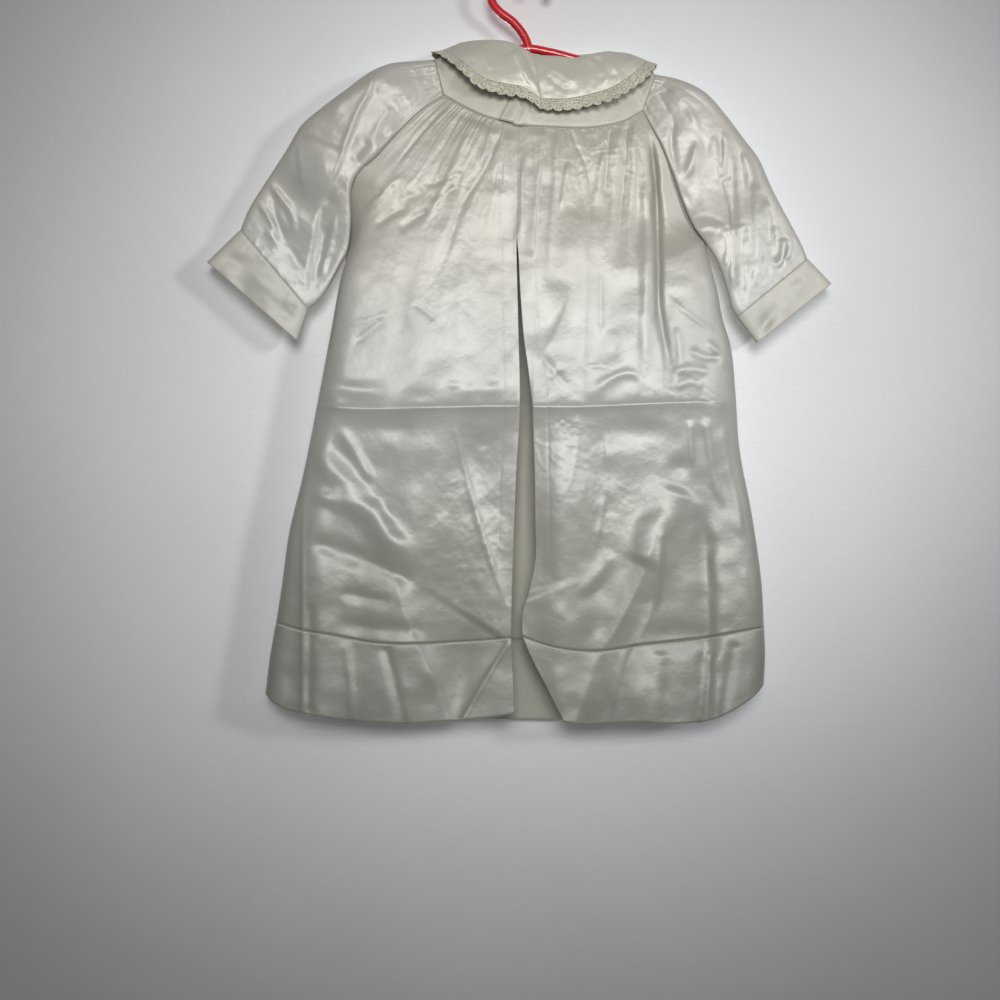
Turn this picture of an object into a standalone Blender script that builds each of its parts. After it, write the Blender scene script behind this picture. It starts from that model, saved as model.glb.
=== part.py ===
# Baby's satin gown, open down the front, on a child's plastic hanger.
# Metres, +Z up, -Y towards the front. The origin is the inside of the hook's crown.
import math

import bmesh
import bpy
import numpy as np
from mathutils import Vector

# ---- driving dimensions -------------------------------------------------------------------------------------------
NAME = "satin_gown_on_hanger"
UNIT = 0.0008  # one drawing unit, on the plane of the hanger
MID_COL = 519.0  # drawing column of the hook
CROWN_ROW = -40.0  # drawing row of the hook's inner crown
EYE_COL, EYE_ROW, EYE_FAR = 500.0, 500.0, 1300.0  # the drawing is a view from 1300 mm; depths are mm
WALL = 0.0012  # satin, one layer
DOUBLE_WALL = 0.0018  # cuffs and hem, two layers
LACE_WALL = 0.0010
SEAM = 0.00022  # each piece stops this far short of a flat seam
TURN = 0.0006  # and this far short of a seam where the cloth turns
ARMPIT = 0.0015  # and this far near the armpit, where four pieces meet

FRONT_COLS = 16  # faces across each front
BACK_COLS = 22
HALF_SLEEVE_COLS = 8  # faces over the front half of a sleeve, the same behind
BODY_ROWS = 11  # faces from armpit to hem seam
HEM_TURN = 0.0010  # the doubled hem at the side seams
HEM_ROWS = 2
CUFF_ROWS = 2
YOKE_ROWS = 2

HANGER_R = 0.0035
HOOK_R = 0.0224  # middle of the rod
HANGER_SIDES = 12

# Raglan sleeves, a row per section: the front seam (or underarm) point, the top fold and the back seam point, each
# column, row and depth, and the fullness of the sleeve.
SLEEVE_COLUMNS = ("f_col", "f_row", "f_dep", "t_col", "t_row", "b_col", "b_row", "b_dep", "full")
SLEEVE_RIGHT = [
    (443, 95, -14.0, 435, 60, 450, 80, 10.0, 0.0),
    (426, 106, -15.5, 413, 61.5, 430, 96, 11.0, 1.0),
    (408, 122, -16.5, 390, 64, 410, 113, 11.5, 2.0),
    (392, 139, -17.0, 370, 72.5, 393, 132, 11.5, 3.0),
    (376, 157, -17.0, 347, 89, 377, 152, 11.0, 4.0),
    (359, 172, -15.5, 323, 107, 363, 171, 10.0, 5.5),
    (351, 191, -12.0, 302, 125, 354, 192, 8.0, 7.0),
    (351, 220, -7.0, 288, 148, 350, 219, 4.0, 8.5),
    (348, 250, -2.0, 274, 170, 348, 250, -1.0, 9.5),
    (341, 264, -1.0, 265, 184, 341, 264, -1.0, 10.0),
    (333, 279, -0.5, 257, 196, 333, 279, -0.5, 10.0),
    (324, 294, 0.0, 250, 208, 324, 294, 0.0, 10.0),
    (316, 303, 0.0, 245, 219, 316, 303, 0.0, 10.0),
    (308, 309, 0.0, 241, 230, 308, 309, 0.0, 10.0),
]
SLEEVE_LEFT = [
    (643, 111, -13.0, 655, 75, 636, 90, 10.0, 0.0),
    (648, 121, -14.5, 672, 78, 645, 104, 11.0, 1.0),
    (654, 132, -16.0, 690, 84, 654, 119, 11.5, 2.0),
    (661, 145, -16.5, 708, 95, 663, 136, 11.5, 3.0),
    (668, 162, -16.5, 727, 117, 672, 155, 11.0, 4.0),
    (675, 182, -15.0, 744, 139.5, 681, 177, 10.0, 5.5),
    (684, 206, -12.0, 759, 160, 690, 201, 8.0, 7.0),
    (694, 227, -7.0, 770, 185, 698, 223, 4.0, 8.5),
    (705, 242, -2.0, 779, 203, 705, 242, -1.0, 9.5),
    (714, 256, -1.0, 786, 216, 714, 256, -1.0, 10.0),
    (721, 272, -0.5, 793, 229, 721, 272, -0.5, 10.0),
    (727, 291, 0.0, 799.5, 241, 727, 291, 0.0, 10.0),
    (731, 307, 0.0, 804, 251, 731, 307, 0.0, 10.0),
    (737, 317, 0.0, 807, 259, 737, 317, 0.0, 10.0),
]
RAGLAN_ROWS = 9  # sections down to the armpit
# Lower edge of each cuff: underarm end, then top-fold end.
CUFF_RIGHT_END = ((297, 341), (207.5, 262.5))
CUFF_LEFT_END = ((757, 343), (831, 284))
CUFF_FULL = 10.5

# Side seams from armpit to hem seam, and on to the hem: column, row.
SIDE_RIGHT = [(348, 250), (344, 266), (340, 283), (333, 322), (320, 391), (313, 428), (302, 481), (290, 530), (281.5, 590), (276.6, 622)]
SIDE_LEFT = [(705, 242), (709, 261), (716.6, 289), (722, 318), (730, 345), (735, 391.5), (738.7, 445), (752, 517.5), (761.7, 590), (763.5, 627)]
HEM_SIDE_RIGHT = [(276.6, 622), (270, 660), (266, 694)]
HEM_SIDE_LEFT = [(763.5, 627), (764.5, 655), (763, 685)]
# Front edges, neck to hem seam: column, row, depth.
EDGE_RIGHT = [(519, 125, -21), (518, 160, -24), (517, 200, -26), (516.5, 243, -27.5), (517.5, 290, -29), (518.5, 330, -30), (520, 405, -31.5), (516, 480, -32.5), (513, 560, -33.5), (511, 637, -35)]
EDGE_LEFT = [(520.6, 125.5, -21), (519.6, 160, -24), (518.7, 200, -26), (518.6, 243, -27.2), (520, 290, -28), (523, 330, -28.5), (531.5, 400, -29), (533.5, 440, -29), (535, 520, -29.5), (535, 560, -31), (529, 590, -33), (522, 615, -34.5), (522, 636, -35)]
HEM_EDGE_RIGHT = [(511, 637, -35), (513, 675, -36), (514.5, 714, -37)]
HEM_EDGE_LEFT = [(522, 636, -35), (530, 655, -36), (546, 686, -37), (564, 722, -38)]
# Hem seam and hem, front edge to side seam: column, row.
HEM_SEAM_RIGHT = [(511, 637), (500, 638), (460, 641), (415, 643), (385, 643), (330, 634), (300, 629), (276.6, 622)]
HEM_SEAM_LEFT = [(522, 636), (552, 646), (605, 650), (635, 645), (680, 640), (712, 636), (745, 630), (763.5, 627)]
HEM_RIGHT = [(514.5, 714), (486, 718), (451, 721), (400, 723.5), (359, 721), (310.6, 715), (286, 709), (273, 702), (266, 694)]
HEM_LEFT = [(564, 722), (572.7, 723.5), (635.7, 722), (684, 723.5), (715.7, 718.7), (737.5, 708), (755, 695), (763, 685)]
BACK_HEM_SEAM = [(276.6, 622), (330, 632), (400, 637), (519, 639), (640, 639), (710, 634), (763.5, 627)]
BACK_HEM = [(266, 694), (276, 703), (330, 712), (400, 717), (519, 719), (640, 718), (715, 711), (752, 697), (763, 685)]
# Gather line, front edge to raglan seam: column, row.
GATHER_RIGHT = [(519, 125), (508, 122.5), (490, 118), (466, 108), (443, 95)]
GATHER_LEFT = [(520.6, 125.5), (545, 127), (600, 127), (625, 121), (643, 111)]
GATHER_BACK = [(450, 80), (475, 89), (510, 94), (543, 95), (580, 95), (612, 93), (636, 90)]
# Neck seam over each run of the gather line: column, row, depth.
NECK_FRONT_RIGHT = [(531, 60, -16), (505, 58, -15.5), (476, 55, -12.5)]
NECK_SHOULDER_RIGHT = [(476, 55, -12.5), (459, 49.5, 0), (468, 51, 7)]
NECK_BACK = [(468, 51, 7), (500, 53, 12.5), (543, 62, 14), (592, 61, 12.5), (622, 58.5, 7)]
NECK_SHOULDER_LEFT = [(622, 58.5, 7), (632, 60, 0), (618, 63, -11)]
NECK_FRONT_LEFT = [(618, 63, -11), (590, 63, -15), (560, 62.5, -16), (540, 62, -16.5), (532, 61.5, -18.6)]
YOKE_TAB = [(513, 123.5, -23.2), (499, 119.5, -23.0)]  # the yoke's left end laps over its right end

# Depth of the front, of the back and of the side seam, by row.
DEPTH_COLUMNS = ("row", "front", "back", "side")
DEPTHS = [
    (80, -18.0, 11.5, -2.0),
    (125, -21.0, 12.0, -2.0),
    (200, -26.0, 13.0, -2.0),
    (250, -27.5, 13.0, -2.0),
    (350, -30.5, 13.0, -1.5),
    (450, -32.0, 13.5, -1.0),
    (560, -33.5, 14.0, -0.5),
    (640, -35.0, 15.0, 0.0),
    (730, -37.5, 16.0, 0.0),
]
# Long soft folds: top column and row, bottom column and row, half width, height in mm (+ stands out, - is a trough).
FOLD_COLUMNS = ("col_0", "row_0", "col_1", "row_1", "half", "height")
FRONT_FOLDS = [
    (440, 290, 402, 730, 30, 3.0),
    (376, 400, 348, 730, 24, -3.0),
    (322, 380, 318, 730, 18, 2.5),
    (472, 360, 456, 730, 22, -2.5),
    (562, 290, 560, 730, 20, 2.0),
    (604, 330, 592, 730, 20, -3.0),
    (668, 400, 640, 730, 24, 3.0),
    (652, 118, 655, 390, 10, -4.0),
    (700, 430, 700, 730, 18, -2.5),
]
BACK_FOLDS = [
    (400, 250, 350, 730, 26, 2.5),
    (450, 300, 430, 730, 24, -3.0),
    (500, 150, 495, 730, 24, 2.5),
    (560, 260, 565, 730, 24, -3.0),
    (610, 240, 625, 730, 24, 3.0),
    (660, 330, 690, 730, 22, -2.5),
]

# Collar halves, a row per section from the front edge round to the centre back: seam, roll, satin edge, lace edge.
COLLAR_COLUMNS = ("s_col", "s_row", "s_dep", "r_col", "r_row", "r_dep", "e_col", "e_row", "e_dep", "l_col", "l_row", "l_dep")
COLLAR_RIGHT = [
    (530, 57, -17.5, 534, 54, -20.5, 541, 99, -28.0, 543, 110, -30.0),
    (519, 55, -17, 523, 45.5, -20.5, 524, 88, -29.5, 525, 98.5, -32.0),
    (503, 54, -16.5, 508, 39, -19.5, 503, 83.5, -30.5, 501, 94, -33.0),
    (487, 52.5, -15, 490, 38, -17.5, 484, 78, -30.5, 480, 88, -33.5),
    (474, 50.5, -12, 474, 39.5, -13, 467, 65, -27.5, 461, 71, -31.0),
    (463, 47.5, -6, 463, 42, -6, 450, 53.5, -15.5, 441, 55.5, -18.5),
    (461, 46, 2, 461, 43, 2.5, 442, 51, -1.0, 431.5, 52.5, -1.0),
    (467, 47.5, 8, 468, 44, 10, 447, 61, 13, 439, 67, 15),
    (488, 47, 12.5, 488, 43, 16, 472, 79, 19, 466, 89, 20.5),
    (515, 54, 14.5, 515, 50, 18.5, 507, 90, 21, 505, 101, 22),
    (542.6, 58.5, 15, 542.6, 55, 19, 542.6, 94, 21.5, 542.6, 105, 22.5),
]
COLLAR_LEFT = [
    (537, 58.5, -17.5, 537, 54, -20.5, 544.5, 99, -28.0, 546.5, 110, -29.5),
    (556, 59.5, -17.5, 556, 55, -20.5, 568, 99, -29.0, 571, 110, -30.5),
    (575, 60, -17, 575, 57, -20.5, 592, 94, -28.5, 596, 104.5, -30.5),
    (590, 60, -16.5, 590, 53, -19.5, 610, 88.5, -27.5, 614, 99.5, -30.0),
    (606, 59.5, -14, 606, 50, -16, 629, 77, -23.0, 638, 85, -25.5),
    (621, 57.5, -9, 621, 52.5, -9, 644, 64, -12.0, 654, 70, -13.0),
    (631, 56.5, 0, 630, 54, 0, 646, 60.5, 0, 657, 64.5, 0),
    (622, 55, 8, 621, 52, 10, 642, 70, 13, 652, 77, 15),
    (601, 55.5, 13, 601, 52.5, 16, 617, 86, 19, 623, 96, 20.5),
    (572, 58, 14.5, 572, 54.5, 18.5, 580, 93, 21, 583, 104, 22),
    (543.4, 58.5, 15, 543.4, 55, 19, 543.4, 94, 21.5, 543.4, 105, 22.5),
]
COLLAR_ALONG = 20
LACE_GAP = 0.00035
COLLAR_DOWN = 5

# Hanger: rod from the hook's tip over the crown, down the shank; then the arms. Column, row.
HOOK_TIP_DEG = -12.0
SHANK = [(491, -4), (493, 4), (500, 12), (513, 22), (520, 30), (526, 40), (529, 50)]
ARMS = [(379, 80), (400, 75.6), (435, 68), (480, 57.4), (510, 51), (529, 48.8), (548, 52), (580, 60.4), (620, 71.8), (655, 82), (676, 88.4)]


# ---- shape ----------------------------------------------------------------------------------------------------------
def place(col, row, depth):
    """Drawing column, drawing row and depth in mm to metres."""
    col, row, depth = np.broadcast_arrays(*(np.asarray(v, float) for v in (col, row, depth)))
    near = 1.0 + depth / EYE_FAR
    x = (EYE_COL - MID_COL) * UNIT + (col - EYE_COL) * UNIT * near
    z = (CROWN_ROW - EYE_ROW) * UNIT - (row - EYE_ROW) * UNIT * near
    return np.stack([x, depth * 0.001, z], -1)


def through(points, fractions):
    """Points at the given fractions of a smooth path through the listed points."""
    p = np.asarray(points, float)
    knots = np.concatenate([[0.0], np.cumsum(np.linalg.norm(np.diff(p, axis=0), axis=1))])
    slope = np.gradient(p, knots, axis=0) if len(p) > 2 else np.repeat((p[1:] - p[:1]) / knots[1], 2, 0)
    t = np.clip(np.asarray(fractions, float), 0, 1) * knots[-1]
    k = np.clip(np.searchsorted(knots, t, side="right") - 1, 0, len(p) - 2)
    h = (knots[k + 1] - knots[k])[:, None]
    a = ((t - knots[k])[:, None]) / h
    return (
        (2 * a**3 - 3 * a**2 + 1) * p[k]
        + (a**3 - 2 * a**2 + a) * h * slope[k]
        + (3 * a**2 - 2 * a**3) * p[k + 1]
        + (a**3 - a**2) * h * slope[k + 1]
    )


def even(n):
    return np.linspace(0.0, 1.0, n + 1)


def depth_at(row, column):
    rows = [d[0] for d in DEPTHS]
    return np.interp(row, rows, [d[DEPTH_COLUMNS.index(column)] for d in DEPTHS])


def smooth(x):
    x = np.clip(x, 0, 1)
    return x * x * (3 - 2 * x)


def folds(col, row, table):
    """Height of the long folds, mm."""
    total = np.zeros_like(col)
    for c0, r0, c1, r1, half, height in table:
        along = (row - r0) / (r1 - r0)
        across = (col - (c0 + (c1 - c0) * along)) / half
        ramp = smooth(along * 2.2) if r1 > 600 else smooth(along * 4) * smooth((1 - along) * 3)
        total += height * ramp * np.exp(-(across**2) * 1.6)
    return total


def corner_shape(u, power=4.5):
    """A quarter of a rounded section, evenly spaced: share across, share of depth."""
    angle = np.linspace(0, math.pi / 2, 400)
    across, deep = np.sin(angle) ** (2 / power), 1 - np.cos(angle) ** (2 / power)
    length = np.concatenate([[0], np.cumsum(np.hypot(np.diff(across * 4), np.diff(deep * 1.0)))])
    length /= length[-1]
    return np.interp(u, length, across), np.interp(u, length, deep)


def coons(left, right, top, bottom, s, v):
    """Fills between four edges; top and bottom are functions of the share across."""
    top_s, bottom_s = top(s.ravel()).reshape(s.shape + (2,)), bottom(s.ravel()).reshape(s.shape + (2,))
    s, v = s[..., None], v[:, None, None]
    l, r = left[:, None, :2], right[:, None, :2]
    p00, p10, p01, p11 = left[0, :2], right[0, :2], left[-1, :2], right[-1, :2]
    flat = (1 - s) * (1 - v) * p00 + s * (1 - v) * p10 + (1 - s) * v * p01 + s * v * p11
    return (1 - s) * l + s * r + (1 - v) * top_s + v * bottom_s - flat


def raglan_gap(rows):
    """How far each row stops short of the raglan and side seams."""
    return np.interp(np.arange(rows), [0, RAGLAN_ROWS - 5, RAGLAN_ROWS - 3, RAGLAN_ROWS, RAGLAN_ROWS + 3], [TURN, TURN, ARMPIT, ARMPIT, TURN])


def side_points(side, n):
    return through(side, even(n))


def front_panel(edge, sleeve, side, gather, hem_seam, cols, body_rows):
    """One front: rows from gather line to hem seam, columns from front edge to raglan and side seam."""
    raglan = np.array([[r[0], r[1], r[2]] for r in sleeve[:RAGLAN_ROWS]])
    below = side_points(side, body_rows)[1:]
    below = np.column_stack([below, depth_at(below[:, 1], "side")])
    outer = np.vstack([raglan, below])
    rows = len(outer)
    edge_f = through(edge, np.linspace(0, 1, 400))
    share = np.concatenate([np.linspace(0, 0.30, RAGLAN_ROWS), np.linspace(0.30, 1, body_rows + 1)[1:]])
    inner = through(edge, share)
    u = even(cols)
    round_s, round_d = corner_shape(u)
    flat_d = u**2.2
    k = np.arange(rows)
    turn = smooth((k - (RAGLAN_ROWS - 4)) / 4.0)[:, None]
    s = (1 - turn) * u + turn * round_s
    deep = (1 - turn) * flat_d + turn * round_d
    plane = coons(inner, outer, lambda t: through(gather, t), lambda t: through(hem_seam, t), s, share)
    depth = inner[:, 2:3] + (outer[:, 2:3] - inner[:, 2:3]) * deep
    depth = depth - folds(plane[..., 0], plane[..., 1], FRONT_FOLDS) * smooth((1 - s) * 5) * smooth(share[:, None] * 5)
    return np.dstack([plane, depth]), s[-1], deep[-1]


def hem_panel(seam_row, edge, side, hem, s, rows):
    """The hem band below a panel's last row."""
    inner, outer = through(edge, even(rows)), side_points(side, rows)
    s2 = np.repeat(s[None], rows + 1, 0)
    v = even(rows)
    left, right = inner[:, :2], outer
    bottom = through(hem, s)
    top = seam_row[:, :2]
    plane = np.zeros((rows + 1, len(s), 2))
    for i in range(rows + 1):
        a = v[i]
        flat = (1 - s)[:, None] * ((1 - a) * left[0] + a * left[-1]) + s[:, None] * ((1 - a) * right[0] + a * right[-1])
        plane[i] = (1 - s)[:, None] * left[i] + s[:, None] * right[i] + (1 - a) * top + a * bottom - flat
    return plane, s2


def sleeve_grid(table, half_cols):
    """Rows down the sleeve, columns from the front seam over the top to the back seam."""
    t = np.array(table, float)
    u = even(half_cols)
    rows = []
    for k, (fc, fr, fd, tc, tr, bc, br, bd, full) in enumerate(t):
        tube = smooth((k - 4) / 5.0)
        share = (1 - tube) * np.sin(u * math.pi / 2) + tube * (1 - np.cos(u * math.pi)) / 2
        end = (1 - share**3.6) ** (1 / 3.6)
        both = (1 - np.abs(2 * share - 1) ** 3.6) ** (1 / 3.6)
        front = np.column_stack([fc + (tc - fc) * share, fr + (tr - fr) * share, fd * end - full * both])
        back = np.column_stack([bc + (tc - bc) * share, br + (tr - br) * share, bd * end + full * both])
        rows.append(np.vstack([front, back[::-1][1:]]))
    return np.array(rows)


def cuff_grid(seam_row, end, half_cols, rows):
    """The cuff from its seam to its open edge, same columns as the sleeve."""
    (uc, ur), (tc, tr) = end
    share = (1 - np.cos(even(half_cols) * math.pi)) / 2
    both = (1 - np.abs(2 * share - 1) ** 3.6) ** (1 / 3.6)
    front = np.column_stack([uc + (tc - uc) * share, ur + (tr - ur) * share, -CUFF_FULL * both])
    back = front[::-1][1:] * [1, 1, -1]
    last = np.vstack([front, back])
    return np.array([seam_row + (last - seam_row) * a for a in even(rows)])


def pull_in(grid, top=0.0, bottom=0.0, first=0.0, last=0.0, rows=None):
    """Sets the edges of a placed grid back along the cloth."""
    g = grid.copy()

    def shift(edge, inner, by):
        way = inner - edge
        by = np.asarray(by, float)[..., None] if np.ndim(by) else by
        return edge + way / np.maximum(np.linalg.norm(way, axis=-1, keepdims=True), 1e-9) * by

    rows = slice(None) if rows is None else rows
    if np.any(first):
        g[rows, 0] = shift(grid[rows, 0], grid[rows, 1], first)
    if np.any(last):
        g[rows, -1] = shift(grid[rows, -1], grid[rows, -2], last)
    if top:
        g[0] = shift(g[0], g[1], top)
    if bottom:
        g[-1] = shift(g[-1], g[-2], bottom)
    return g


# ---- objects --------------------------------------------------------------------------------------------------------
for old in list(bpy.data.objects):
    bpy.data.objects.remove(old, do_unlink=True)
body = bpy.data.collections.new(NAME)
bpy.context.scene.collection.children.link(body)
cutters = bpy.data.collections.new("cutters")
bpy.context.scene.collection.children.link(cutters)


def material(name, colour, rough):
    mat = bpy.data.materials.new(name)
    mat.use_nodes = True
    shader = mat.node_tree.nodes["Principled BSDF"]
    shader.inputs["Base Color"].default_value = (*colour, 1.0)
    shader.inputs["Roughness"].default_value = rough
    return mat


def cloth(name, grid, wall, colour, rough=0.35, weld_rows=(), close=False, out=(0.0, -1.0, 0.0)):
    """One sheet with a wall of cloth; weld_rows join their first and last points."""
    rows, cols = grid.shape[:2]
    index = np.zeros((rows, cols), int)
    points = []
    for i in range(rows):
        for j in range(cols):
            if j == cols - 1 and (close or i in weld_rows):
                index[i, j] = index[i, 0]
            else:
                index[i, j] = len(points)
                points.append(tuple(grid[i, j]))
    faces = []
    for i in range(rows - 1):
        for j in range(cols - 1):
            quad = [int(index[i, j]), int(index[i, j + 1]), int(index[i + 1, j + 1]), int(index[i + 1, j])]
            ring = [v for n, v in enumerate(quad) if v != quad[n - 1]]
            faces.append(tuple(ring))
    mesh = bpy.data.meshes.new(name)
    mesh.from_pydata(points, [], faces)
    mesh.validate()
    tri = bmesh.new()
    tri.from_mesh(mesh)
    bmesh.ops.triangulate(tri, faces=tri.faces)
    bmesh.ops.recalc_face_normals(tri, faces=tri.faces)
    tri.to_mesh(mesh)
    tri.free()
    ob = bpy.data.objects.new(name, mesh)
    body.objects.link(ob)
    mesh.materials.append(material(name, colour, rough))
    wall_mod = ob.modifiers.new("wall", "SOLIDIFY")
    wall_mod.thickness = wall
    wall_mod.offset = 0.0
    wall_mod.use_even_offset = False
    wall_mod.use_quality_normals = True
    wall_mod.use_rim = True
    return ob


IVORY = (0.80, 0.77, 0.68)
CREAM = (0.76, 0.73, 0.62)

# Sleeves and cuffs
sleeves = {}
for side, table, end in (("right", SLEEVE_RIGHT, CUFF_RIGHT_END), ("left", SLEEVE_LEFT, CUFF_LEFT_END)):
    grid = sleeve_grid(table, HALF_SLEEVE_COLS)
    sleeves[side] = grid
    tube = range(RAGLAN_ROWS, len(grid))
    gap = raglan_gap(len(grid))[:RAGLAN_ROWS]
    placed = pull_in(place(*np.moveaxis(grid, -1, 0)), TURN, TURN, gap, gap, slice(0, RAGLAN_ROWS))
    cloth("sleeve_" + side, placed, WALL, IVORY, weld_rows=tube)
    cuff = cuff_grid(grid[-1], end, HALF_SLEEVE_COLS, CUFF_ROWS)
    cloth("cuff_" + side, pull_in(place(*np.moveaxis(cuff, -1, 0)), TURN), DOUBLE_WALL, IVORY, close=True)

# Fronts and their hems
fronts = {}
for side, edge, sl, seam_side, gather, hem_seam, hem_edge, hem_side, hem in (
    ("right", EDGE_RIGHT, SLEEVE_RIGHT, SIDE_RIGHT, GATHER_RIGHT, HEM_SEAM_RIGHT, HEM_EDGE_RIGHT, HEM_SIDE_RIGHT, HEM_RIGHT),
    ("left", EDGE_LEFT, SLEEVE_LEFT, SIDE_LEFT, GATHER_LEFT, HEM_SEAM_LEFT, HEM_EDGE_LEFT, HEM_SIDE_LEFT, HEM_LEFT),
):
    grid, s, deep = front_panel(edge, sl, seam_side, gather, hem_seam, FRONT_COLS, BODY_ROWS)
    fronts[side] = grid
    placed = pull_in(place(*np.moveaxis(grid, -1, 0)), TURN, SEAM, 0.0, raglan_gap(len(grid)))
    cloth("front_" + side, placed, WALL, IVORY)
    plane, s2 = hem_panel(grid[-1], hem_edge, hem_side, hem, s, HEM_ROWS)
    inner = through(hem_edge, even(HEM_ROWS))[:, 2:3]
    depth = inner + (depth_at(plane[..., 1], "side") - inner) * deep
    depth = depth - folds(plane[..., 0], plane[..., 1], FRONT_FOLDS) * smooth((1 - s2) * 5)
    depth[0] = grid[-1][:, 2]
    placed = pull_in(place(plane[..., 0], plane[..., 1], depth), SEAM, 0.0, 0.0, HEM_TURN)
    cloth("hem_front_" + side, placed, DOUBLE_WALL, IVORY)

# Back and its hem
u = even(BACK_COLS)
c = 2 * u - 1
left = np.vstack([[[r[5], r[6], r[7]] for r in SLEEVE_RIGHT[:RAGLAN_ROWS]], np.column_stack([side_points(SIDE_RIGHT, BODY_ROWS)[1:], np.zeros((BODY_ROWS, 1))])])
right = np.vstack([[[r[5], r[6], r[7]] for r in SLEEVE_LEFT[:RAGLAN_ROWS]], np.column_stack([side_points(SIDE_LEFT, BODY_ROWS)[1:], np.zeros((BODY_ROWS, 1))])])
left[RAGLAN_ROWS:, 2] = depth_at(left[RAGLAN_ROWS:, 1], "side")
right[RAGLAN_ROWS:, 2] = depth_at(right[RAGLAN_ROWS:, 1], "side")
share = np.concatenate([np.linspace(0, 0.30, RAGLAN_ROWS), np.linspace(0.30, 1, BODY_ROWS + 1)[1:]])
k = np.arange(len(left))
turn = smooth((k - (RAGLAN_ROWS - 4)) / 4.0)[:, None]
across, round_d = corner_shape(np.abs(c))
round_s = 0.5 + 0.5 * np.sign(c) * across
back_s = (1 - turn) * u + turn * round_s
back_d = (1 - turn) * np.abs(c) ** 2.2 + turn * round_d
plane = coons(left, right, lambda t: through(GATHER_BACK, t), lambda t: through(BACK_HEM_SEAM, t), back_s, share)
middle = depth_at(plane[..., 1], "back")
ends = np.where(c < 0, left[:, 2:3], right[:, 2:3])
depth = middle + (ends - middle) * back_d
depth = depth + folds(plane[..., 0], plane[..., 1], BACK_FOLDS) * smooth((1 - np.abs(2 * back_s - 1)) * 4) * smooth(share[:, None] * 5)
back = np.dstack([plane, depth])
gap = raglan_gap(len(back))
cloth("back", pull_in(place(*np.moveaxis(back, -1, 0)), TURN, SEAM, gap, gap), WALL, IVORY)

s = back_s[-1]
plane, _ = hem_panel(back[-1], [(a, b, 0) for a, b in HEM_SIDE_RIGHT], HEM_SIDE_LEFT, BACK_HEM, s, HEM_ROWS)
middle = depth_at(plane[..., 1], "back")
depth = middle + (depth_at(plane[..., 1], "side") - middle) * back_d[-1]
depth = depth + folds(plane[..., 0], plane[..., 1], BACK_FOLDS) * smooth((1 - np.abs(2 * s - 1)) * 4)
depth[0] = back[-1][:, 2]
placed = pull_in(place(plane[..., 0], plane[..., 1], depth), SEAM, 0.0, HEM_TURN, HEM_TURN)
cloth("hem_back", placed, DOUBLE_WALL, IVORY)

# Yoke: its lower edge is the gather line of every piece in turn
runs = [
    (fronts["right"][0], NECK_FRONT_RIGHT),
    (sleeves["right"][0], NECK_SHOULDER_RIGHT),
    (back[0], NECK_BACK),
    (sleeves["left"][0][::-1], NECK_SHOULDER_LEFT),
    (np.vstack([fronts["left"][0][::-1], YOKE_TAB]), NECK_FRONT_LEFT),
]
low, high = [], []
for n, (edge, neck) in enumerate(runs):
    length = np.concatenate([[0], np.cumsum(np.linalg.norm(np.diff(edge, axis=0), axis=1))])
    top = through(neck, length / length[-1])
    low += list(edge[1:] if n else edge)
    high += list(top[1:] if n else top)
low, high = np.array(low), np.array(high)
keep = np.concatenate([[True], np.linalg.norm(np.diff(low, axis=0), axis=1) > 0.8])
low, high = low[keep], high[keep]
near_end = smooth((np.arange(len(low)) - (len(low) - 6)) / 3.0)
low[:, 2] = np.where(near_end > 0, np.minimum(low[:, 2], -21.0 - 2.2 * near_end), low[:, 2])
yoke = np.array([high + (low - high) * a for a in even(YOKE_ROWS)])
cloth("neck_yoke", pull_in(place(*np.moveaxis(yoke, -1, 0)), 0.0, TURN), WALL, IVORY)

# Collar halves and their lace
for side, table in (("right", COLLAR_RIGHT), ("left", COLLAR_LEFT)):
    t = np.array(table, float)
    f = even(COLLAR_ALONG)
    seam, roll, edge, lace = (through(t[:, 3 * n : 3 * n + 3], f) for n in range(4))
    down = []
    for a in even(COLLAR_DOWN):
        if a < 0.2:
            down.append(seam + (roll - seam) * a / 0.2)
        else:
            b = (a - 0.2) / 0.8
            bulge = np.zeros_like(roll)
            bulge[:, 2] = np.sign(edge[:, 2]) * 2.5 * math.sin(math.pi * b)
            down.append(roll + (edge - roll) * b + bulge)
    grid = np.array(down)
    cloth("collar_" + side, pull_in(place(*np.moveaxis(grid, -1, 0)), 0.0, LACE_GAP), WALL, IVORY)
    grid = np.array([edge, lace])
    cloth("lace_" + side, pull_in(place(*np.moveaxis(grid, -1, 0)), LACE_GAP), LACE_WALL, CREAM, 0.7)


# Hanger: a bent rod with a hook, and two arms
def rod(name, points):
    curve = bpy.data.curves.new(name, "CURVE")
    curve.dimensions = "3D"
    curve.bevel_depth = HANGER_R
    curve.bevel_resolution = HANGER_SIDES // 4 - 1
    curve.use_fill_caps = True
    line = curve.splines.new("POLY")
    line.points.add(len(points) - 1)
    for p, q in zip(line.points, points):
        p.co = (*q, 1.0)
    holder = bpy.data.objects.new(name, curve)
    bpy.context.scene.collection.objects.link(holder)
    bpy.context.view_layer.update()
    mesh = bpy.data.meshes.new_from_object(holder)
    bpy.data.objects.remove(holder, do_unlink=True)
    bm = bmesh.new()
    bm.from_mesh(mesh)
    bmesh.ops.remove_doubles(bm, verts=bm.verts, dist=0.00005)
    bmesh.ops.recalc_face_normals(bm, faces=bm.faces)
    bm.to_mesh(mesh)
    bm.free()
    return bpy.data.objects.new(name, mesh)


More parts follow.
